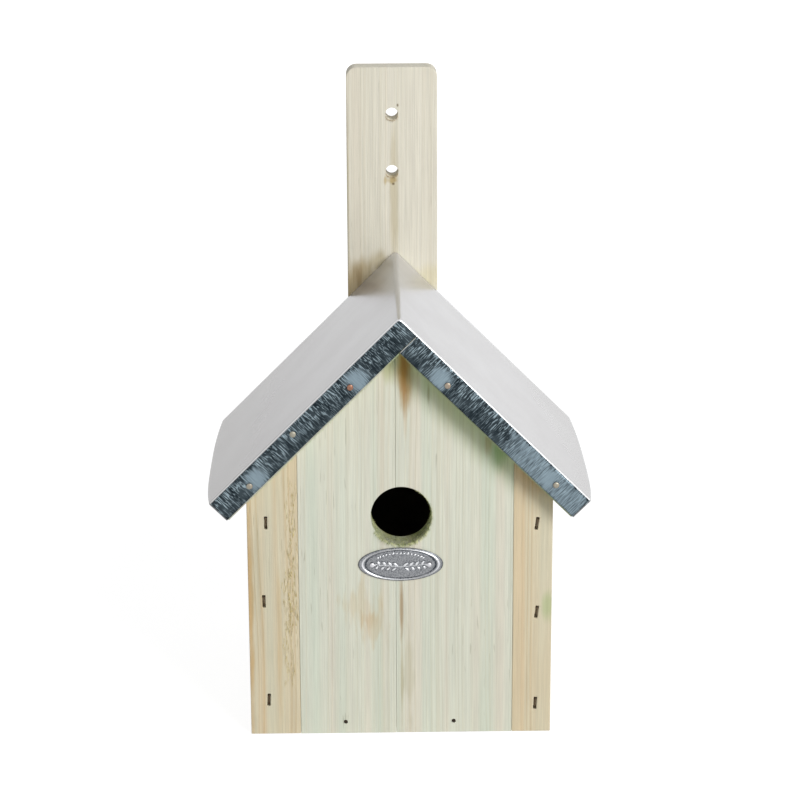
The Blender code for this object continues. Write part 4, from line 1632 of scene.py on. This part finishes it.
@dataclass(frozen=True)
class Seat:
    """Where a fitting sits: the middle of its outer face, its side, its turns and its tone."""

    place: Vec3
    facing: int
    lean: float
    tone: float
    tilt: float

    @classmethod
    def of(cls, node: str, tone: float, lean: float = 0.0, tilt: float = 0.0) -> "Seat":
        """Reads a fitting's seat from its CAD node.

        Args:
            node: The node.
            tone: 0 clean to 1 worn.
            lean: How far it is turned on its own axis.
            tilt: How far its head is tipped.

        Returns:
            The seat.
        """
        low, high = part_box(node)
        facing = -1 if (low.y + high.y) / 2 < 0 else 1
        place = ((low.x + high.x) / 2, low.y if facing < 0 else high.y, (low.z + high.z) / 2)
        return cls(place, facing, lean, tone, tilt)

    def turn(self) -> Euler:
        """The turn from facing up to facing out of the wood."""
        out = Vector((0.0, float(self.facing), 0.0))
        up = Vector((math.sin(self.lean), 0.0, math.cos(self.lean)))
        turn = Matrix((up, out.cross(up), out)).transposed().to_3x3()
        return (turn @ Matrix.Rotation(self.tilt, 3, "Y")).to_euler()


@dataclass(frozen=True)
class Headed:
    """A nail, pin or brad: its head's width and height, its shank and how domed its head is."""

    name: str
    head: float
    height: float
    shank: float
    length: float
    dome: float

    def mesh(self) -> bpy.types.Mesh:
        """Makes it, facing up with its head's top at the origin."""
        radius, under, foot = self.head / 2, -self.height, -self.height - self.length
        profile = [
            (0.0, foot),
            (self.shank * 0.12, foot),
            (self.shank / 2, foot + self.shank * 1.4),
            (self.shank / 2, under),
            (radius * 0.93, under),
            (radius, under + self.height * 0.22),
            (radius, under + self.height * (0.9 - 0.68 * self.dome)),
        ]
        for angle in (1.25, 0.95, 0.65, 0.35):
            drop = self.height * self.dome * (1.0 - math.cos(angle))
            profile.append((radius * math.sin(angle), -drop))
        return turned_shape(self.name, [*profile, (0.0, 0.0)], 28)


@dataclass(frozen=True)
class Staple:
    """A staple's crown, the tops of its legs and its rounded wire."""

    crown: float = 0.0064
    width: float = 0.0008
    depth: float = 0.0007
    leg: float = 0.006
    bend: float = 0.0009
    sag: float = 0.00012
    sides: int = 10

    def path(self) -> list[Vec3]:
        """The middle of the wire: X, Z and which way its outside faces."""
        half, low = self.crown / 2 - self.depth / 2, -self.bend - self.depth / 2
        path = [(-half, -self.leg, 0.0), (-half, low, 0.0)]
        for step in range(1, 5):
            angle = math.pi / 2 * step / 4
            x, z = self.bend * (1 - math.cos(angle)), self.bend * math.sin(angle)
            path.append((-half + x, low + z, angle))
        for x in (-0.35, 0.0):
            z = self.sag * (1.0 - (x / 0.7) ** 2) - self.sag
            path.append((x * half, -self.depth / 2 + z, math.pi / 2))
        return path + [(-x, z, math.pi - angle) for x, z, angle in reversed(path[:-1])]

    def mesh(self) -> bpy.types.Mesh:
        """Makes it, crown along X, facing up with the crown's middle at the origin."""
        bm = bmesh.new()
        loops = []
        for x, z, angle in self.path():
            out = Vector((-math.cos(angle), math.sin(angle)))
            loop = []
            for corner in circle(self.sides, 0.5):
                cosine, sine = math.cos(corner), math.sin(corner)
                wide = 0.5 * self.width * math.copysign(abs(cosine) ** 0.7, cosine)
                deep = 0.5 * self.depth * math.copysign(abs(sine) ** 0.7, sine)
                loop.append(bm.verts.new((x + out[0] * deep, wide, z + out[1] * deep)))
            loops.append(loop)
        skin(bm, loops, closed=True, backwards=True)
        bm.faces.new(loops[0])
        bm.faces.new(list(reversed(loops[-1])))
        return finished("staple", bm, outwards=True, smooth=True)


@dataclass(frozen=True)
class Screw:
    """A countersunk screw with a cross recess."""

    head: float = 0.0070
    shank: float = 0.0030
    length: float = 0.012
    countersink: float = 0.0026
    slot: tuple[float, float] = (0.0040, 0.00095)
    slot_depth: float = 0.0014
    slot_foot: float = 0.45
    above: float = 0.0006

    def recess(self, turn: float) -> bpy.types.Object:
        """Makes the cutter of one slot of the cross, narrower at its foot."""
        bm = bmesh.new()
        bmesh.ops.create_cube(bm, size=1.0)
        for vert in bm.verts:
            wide, z = (1.0, self.above) if vert.co.z > 0 else (self.slot_foot, -self.slot_depth)
            x, y = vert.co.x * self.slot[0] * wide, vert.co.y * self.slot[1] * wide
            vert.co = Vector((x, y, z))
        turned = Matrix.Rotation(turn, 3, "Z")
        bmesh.ops.rotate(bm, verts=bm.verts, cent=(0, 0, 0), matrix=turned)
        return piece_of("recess", finished("recess", bm))

    def mesh(self) -> bpy.types.Mesh:
        """Makes it, facing up with its head's face at the origin."""
        radius = self.head / 2
        profile = [
            (0.0, -self.length),
            (self.shank * 0.12, -self.length),
            (self.shank / 2, -self.length + self.shank),
            (self.shank / 2, -self.countersink),
            (radius, -0.0004),
            (radius * 0.98, -0.00015),
            (radius * 0.93, 0.0),
            (0.0, 0.0),
        ]
        body = piece_of("screw_body", turned_shape("screw_body", profile, 40))
        for turn in (0.0, math.pi / 2):
            tool = self.recess(turn)
            cut = body.modifiers.new("recess", "BOOLEAN")
            cut.operation, cut.object, cut.solver = "DIFFERENCE", tool, "EXACT"
            settled(body)
            bpy.data.objects.remove(tool)
        mesh = body.data
        bpy.data.objects.remove(body)
        mesh.shade_flat()
        return mesh


@dataclass
class Fittings:
    """Nails, pins, staples, brads and screws, set by one tree."""

    scatter: Scatter
    steel: WornMetal = WornMetal("fastener_steel", (196, 190, 182), (128, 100, 74))
    aged: WornMetal = WornMetal("aged_steel", (158, 156, 142), (146, 88, 62), 0.7, 0.40)
    rusty: WornMetal = WornMetal("rusty_steel", (112, 92, 68), (34, 25, 17), 0.5, 0.50)
    pin_metal: WornMetal = WornMetal("pin_aluminium", (214, 214, 218), (150, 150, 156))
    nail: Headed = Headed("nail", 0.0032, 0.0007, 0.0016, 0.006, 0.8)
    pin: Headed = Headed("pin", 0.0024, 0.0006, 0.0010, 0.005, 0.9)
    brad: Headed = Headed("brad", 0.0018, 0.0008, 0.0012, 0.008, 0.3)
    slot: str = "fastener_steel"

    def place(
        self,
        name: str,
        seats: dict[str, Seat],
        shape: bpy.types.Mesh,
        finish: bpy.types.Material,
        slot: str,
    ) -> None:
        """Sets one shape at every seat, as one piece.

        Args:
            name: The piece's name.
            seats: CAD nodes and their seats.
            shape: The shape, facing up, with its outer face at the origin.
            finish: Its finish.
            slot: The record's material slot.
        """
        guide = bpy.data.meshes.new(f"{name}_places")
        guide.from_pydata([seat.place for seat in seats.values()], [], [])
        for label, kind in (("turn", "FLOAT_VECTOR"), ("tone", "FLOAT")):
            guide.attributes.new(label, kind, "POINT")
        for index, seat in enumerate(seats.values()):
            guide.attributes["turn"].data[index].vector = seat.turn()
            guide.attributes["tone"].data[index].value = seat.tone
        pattern = bpy.data.objects.new(f"{name}_pattern", shape)
        tree = self.scatter.fittings
        piece = self.scatter.run(name, guide, tree, pattern, Size=1.0, Finish=finish)
        hand_over(piece, slot, *seats)

    def flange_nails(self) -> dict[str, Seat]:
        """The seats of the flange's nails, each tipped and worn its own way."""
        tones = {"left_1": 0.80, "left_2": 0.0, "right_1": 0.25}
        tones = {f"front_flange_nail_{place}": tone for place, tone in tones.items()}
        return {
            node: Seat.of(node, tones.get(node, 0.1), 0.4 * index, 0.05 * math.sin(2.3 * index))
            for index, node in enumerate(nodes_named("flange_nail"))
        }

    def staples(self) -> dict[str, Seat]:
        """The seats of the staples, each leaning its own way."""
        leans = {
            "front_left": (0.04, -0.02, 0.0),
            "front_right": (0.05, 0.12, 0.14),
            "back_left": (0.03, -0.05, 0.02),
            "back_right": (-0.04, 0.02, 0.06),
        }
        seats = {}
        for node in nodes_named("staple"):
            end, _, side, number = node.split("_")
            seats[node] = Seat.of(node, 0.45, leans[f"{end}_{side}"][int(number) - 1])
        return seats

    def build(self) -> None:
        """Sets every fitting that shows, and dresses the nails that don't."""
        steel, rusty = self.steel.build(), self.rusty.build()
        aged, pin_metal = self.aged.build(), self.pin_metal.build()
        self.place("flange_nails", self.flange_nails(), self.nail.mesh(), aged, self.slot)
        pins = {node: Seat.of(node, 0.15) for node in nodes_named("plate_pin")}
        self.place("plate_pins", pins, self.pin.mesh(), pin_metal, "plate_aluminium")
        self.place("edge_staples", self.staples(), Staple().mesh(), rusty, self.slot)
        brads = {node: Seat.of(node, 0.9) for node in nodes_named("brad")}
        self.place("floor_brads", brads, self.brad.mesh(), rusty, self.slot)
        screws = {}
        for index, node in enumerate(nodes_named("screw")):
            screws[node] = Seat.of(node, 0.15, 0.5 + 0.9 * index)
        self.place("hanging_screws", screws, Screw().mesh(), steel, self.slot)
        for node in nodes_named("roof_nail", "ridge_nail"):
            NODES[node].data.materials.clear()
            NODES[node].data.materials.append(steel)


# Fibres


@dataclass(frozen=True)
class GuidePoint:
    """A place that fibres grow from: where, which way, and their room along each axis."""

    place: Vector
    way: Vector
    room: Vec3


@dataclass(frozen=True)
class Tuft:
    """Fibres of one kind: how many and how long, how far off the line and how unruly they are.

    Their width and their curl are shares of their length.
    """

    name: str
    slot: str
    finish: FibreFinish
    count: int
    shortest: float
    longest: float
    spread: float
    stray: float
    seed: int
    width: float = 0.10
    curl: float = 0.25

    def spike(self) -> bpy.types.Object:
        """Makes a bent fibre one metre long, to be scaled down, three-sided and pointed.

        Returns:
            An object that isn't in the scene.
        """
        bm = bmesh.new()
        rings = []
        for share in (0.0, 0.35, 0.7):
            size, bend = self.width / 2 * (1.0 - 0.75 * share), self.curl * share * share
            points = [(bend + size * math.cos(a), size * math.sin(a), share) for a in circle(3)]
            rings.append([bm.verts.new(point) for point in points])
        tip = [bm.verts.new((self.curl, 0.0, 1.0))]
        skin(bm, [*rings, tip], closed=True, backwards=True)
        bm.faces.new(list(reversed(rings[0])))
        name = f"{self.name}_fibre"
        return bpy.data.objects.new(name, finished(name, bm, outwards=True))

    def grow(self, scatter: Scatter, line: Sequence[GuidePoint]) -> bpy.types.Object:
        """Grows the fibres along a line.

        Args:
            scatter: The trees.
            line: The guide.

        Returns:
            The piece.
        """
        guide = bpy.data.meshes.new(f"{self.name}_guide")
        edges = [(index, index + 1) for index in range(len(line) - 1)]
        guide.from_pydata([point.place for point in line], edges, [])
        for label in ("grow", "room"):
            guide.attributes.new(label, "FLOAT_VECTOR", "POINT")
        for index, point in enumerate(line):
            guide.attributes["grow"].data[index].vector = point.way
            guide.attributes["room"].data[index].vector = point.room
        piece = scatter.run(
            self.name,
            guide,
            scatter.fibres,
            self.spike(),
            Count=self.count,
            Spread=self.spread,
            Shortest=self.shortest,
            Longest=self.longest,
            Stray=self.stray,
            Seed=self.seed,
            Finish=self.finish.build(),
        )
        return hand_over(piece, self.slot)


@dataclass
class Fibres:
    """The torn and raised wood fibres at cut edges and on the rough stave."""

    scatter: Scatter
    hole_x: float = 0.0007
    hole_z: float = 0.1232
    hole_radius: float = 0.0158
    hanging_x: float = -0.0016
    hanging_heights: tuple[float, float] = (0.3106, 0.2786)
    hanging_radius: float = 0.00345

    @staticmethod
    def arc(first: float, last: float, steps: int) -> list[Vector]:
        """The ways out from a hole's middle, from one angle in degrees to another."""
        angles = [math.radians(first + (last - first) * step / steps) for step in range(steps + 1)]
        return [Vector((math.cos(angle), 0.0, math.sin(angle))) for angle in angles]

    def hole_rim(self) -> None:
        """Grows the fuzz round the entrance hole: on its lower and right rim, and inside."""
        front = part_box("front_stave_left")[0].y
        finish = FibreFinish("rim_fibre", (230, 232, 178), (116, 130, 62))

        def fringe(name: str, count: int, longest: float) -> Tuft:
            """Describes the fibres of one part of the hole."""
            return Tuft(name, "green_pine", finish, count, 0.0007, longest, 0.0007, 0.6, 11)

        for tuft, first, last, outside in (
            (fringe("hole_rim_fibres_low", 420, 0.0024), -150.0, -25.0, True),
            (fringe("hole_rim_fibres_right", 230, 0.0016), -30.0, 62.0, True),
            (fringe("hole_wall_fibres", 1500, 0.0018), -165.0, 5.0, False),
        ):
            deep, room = (0.0002, (0.5, 1.0, 0.5)) if outside else (0.0050, (0.3, 7.0, 0.3))
            middle = Vector((self.hole_x, front + deep, self.hole_z))
            line = []
            for out in self.arc(first, last, 30):
                way = Vector((-0.35 * out.x, -1.0, -0.35 * out.z))
                if outside:
                    way = Vector((out.x, -0.9, out.z - 0.25))
                line.append(GuidePoint(middle + out * self.hole_radius, way, room))
            tuft.grow(self.scatter, line)

    def under_flange(self) -> None:
        """Grows the fuzz of the roof board's sawn end, which shows under the left flange."""
        sheet = RoofSheet()
        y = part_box("roof_board_left")[0].y
        line = []
        for step in range(25):
            x, z = sheet.slope_point(-1, 0.030 + 0.095 * step / 24, 0.0136)
            line.append(GuidePoint(Vector((x, y, z)), Vector((0.35, -0.5, -1.0)), (0.6, 1.0, 0.6)))
        finish = FibreFinish("board_end_fibre", (214, 222, 176), (150, 172, 112))
        tuft = Tuft("roof_board_fibres", "green_pine", finish, 420, 0.0005, 0.0014, 0.0004, 0.5, 5)
        tuft.grow(self.scatter, line)

    def torn_grain(self) -> None:
        """Lays torn slivers along the rough band of the left outer stave."""
        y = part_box("front_stave_far_left")[0].y
        finish = FibreFinish("torn_grain", (222, 212, 176), (196, 178, 120))
        size = {"width": 0.10, "curl": -0.03}
        for name, x, low, high, count, way, seed in (
            ("torn_grain_up", -0.0566, 0.060, 0.140, 170, 1.0, 21),
            ("torn_grain_down", -0.0592, 0.032, 0.096, 130, -1.0, 22),
        ):
            line = []
            for step in range(9):
                place = Vector((x + 0.0012 * math.sin(step * 1.7), y, low + (high - low) * step / 8))
                line.append(GuidePoint(place, Vector((0.0, -0.07, way)), (1.0, 0.03, 1.0)))
            tuft = Tuft(name, "yellow_pine", finish, count, 0.0016, 0.0046, 0.0024, 0.10, seed, **size)
            tuft.grow(self.scatter, line)

    def hanging_holes(self) -> None:
        """Grows splinters round the lower rims of the two holes of the hanging board."""
        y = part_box("hanging_board")[0].y
        finish = FibreFinish("splinter", (206, 186, 140), (150, 124, 78))
        names = ("upper_hole_splinters", "lower_hole_splinters")
        for name, height, seed in zip(names, self.hanging_heights, (31, 32)):
            line = []
            for out in self.arc(-160.0, -20.0, 12):
                place = Vector((self.hanging_x, y, height)) + out * self.hanging_radius
                way = Vector((out.x * 0.5, -0.8, out.z - 0.6))
                line.append(GuidePoint(place, way, (0.4, 1.0, 0.4)))
            tuft = Tuft(name, "hanging_pine", finish, 70, 0.0004, 0.0013, 0.0003, 0.5, seed, 0.16)
            tuft.grow(self.scatter, line)

    def build(self) -> None:
        """Grows all of them."""
        self.hole_rim()
        self.under_flange()
        self.torn_grain()
        self.hanging_holes()


# Studio


@dataclass(frozen=True)
class Lamp:
    """A square lamp that faces the middle of the house."""

    name: str
    place: Vec3
    power: float
    size: float
    target: Vec3 = (0.0, 0.0, 0.12)

    def hang(self) -> bpy.types.Object:
        """Hangs it."""
        light = bpy.data.lights.new(self.name, "AREA")
        light.energy, light.size = self.power, self.size
        lamp = bpy.data.objects.new(self.name, light)
        lamp.location = self.place
        aim = Vector(self.target) - Vector(self.place)
        lamp.rotation_euler = aim.to_track_quat("-Z", "Y").to_euler()
        bpy.context.scene.collection.objects.link(lamp)
        return lamp


@dataclass
class Studio:
    """The floor, the light and the camera."""

    focal: float = 115.909
    sensor: float = 36.0
    camera_place: Vec3 = (-0.018505, -1.33132, 0.57916)
    camera_pitch: float = 17.2196
    camera_yaw: float = 0.8522
    camera_roll: float = -0.2537
    key: Lamp = Lamp("key", (1.42, -2.02, 1.50), 58.0, 1.1)
    rear: Lamp = Lamp("rear", (0.0, 2.60, 0.45), 26.0, 1.3)
    ambient: float = 0.30
    floor_size: float = 30.0
    floor_drop: float = 0.0002
    floor_glow: float = 1.29
    floor_share: float = 0.70

    @staticmethod
    def shown(tree: Tree) -> Socket:
        """1 for what the camera sees, itself or in metal or through glass, otherwise 0."""
        path = tree.add("ShaderNodeLightPath").outputs
        mirrored = tree.maths("MAXIMUM", path["Is Glossy Ray"], path["Is Transmission Ray"])
        return tree.maths("MAXIMUM", path["Is Camera Ray"], mirrored)

    @staticmethod
    def blend(
        tree: Tree, share: Socket, plain: bpy.types.Node, seen: bpy.types.Node, end: str
    ) -> None:
        """Ends a tree with a share of one shader over another."""
        inputs = {0: share, 1: plain.outputs[0], 2: seen.outputs[0]}
        tree.add(end, {"Surface": tree.add("ShaderNodeMixShader", inputs).outputs[0]})

    def floor(self) -> None:
        """Lays the pale floor, which shows white and keeps the shadow."""
        bm = bmesh.new()
        bmesh.ops.create_grid(bm, x_segments=1, y_segments=1, size=self.floor_size)
        mesh = finished("studio_floor", bm)
        mesh.transform(Matrix.Translation((0.0, 0.0, -self.floor_drop)))
        material = bpy.data.materials.new("studio_floor")
        material.use_nodes = True
        tree = Tree(material.node_tree)
        paint = tree.add("ShaderNodeBsdfDiffuse", {"Color": (0.88, 0.88, 0.88, 1.0)})
        glow = tree.add("ShaderNodeEmission", {"Strength": self.floor_glow})
        share = tree.times(self.shown(tree), self.floor_share)
        self.blend(tree, share, paint, glow, "ShaderNodeOutputMaterial")
        piece_of("studio_floor", mesh, material)

    def world(self) -> None:
        """Sets a white background over a softer light all round."""
        world = bpy.data.worlds.new("studio")
        world.use_nodes = True
        tree = Tree(world.node_tree)
        inputs = {"Color": (0.97, 0.98, 1.0, 1.0), "Strength": self.ambient}
        soft = tree.add("ShaderNodeBackground", inputs)
        white = tree.add("ShaderNodeBackground", {"Color": (1.0, 1.0, 1.0, 1.0)})
        self.blend(tree, self.shown(tree), soft, white, "ShaderNodeOutputWorld")
        bpy.context.scene.world = world

    def camera(self) -> None:
        """Sets the camera."""
        data = bpy.data.cameras.new("camera")
        data.lens, data.sensor_width = self.focal, self.sensor
        camera = bpy.data.objects.new("camera", data)
        pitch, yaw = math.radians(90.0 - self.camera_pitch), math.radians(-self.camera_yaw)
        aim = Euler((pitch, 0.0, yaw)).to_matrix()
        roll = Matrix.Rotation(math.radians(self.camera_roll), 3, "Z")
        camera.location = self.camera_place
        camera.rotation_euler = (aim @ roll).to_euler()
        bpy.context.scene.collection.objects.link(camera)
        bpy.context.scene.camera = camera

    def build(self) -> None:
        """Sets everything round the house."""
        self.floor()
        self.world()
        self.key.hang()
        self.rear.hang().visible_glossy = False
        self.camera()
        bpy.context.scene.view_settings.view_transform = "Standard"


def main() -> None:
    """Builds the looks in order."""
    logging.basicConfig(level=logging.INFO, format="%(message)s", stream=sys.stdout)
    scatter = Scatter()
    Woodwork().build()
    RoofSheet().build(GalvanisedSheet().build())
    OvalPlate().build(PlateMetal().build())
    Fittings(scatter).build()
    Fibres(scatter).build()
    Studio().build()


if __name__ == "__main__":
    main()
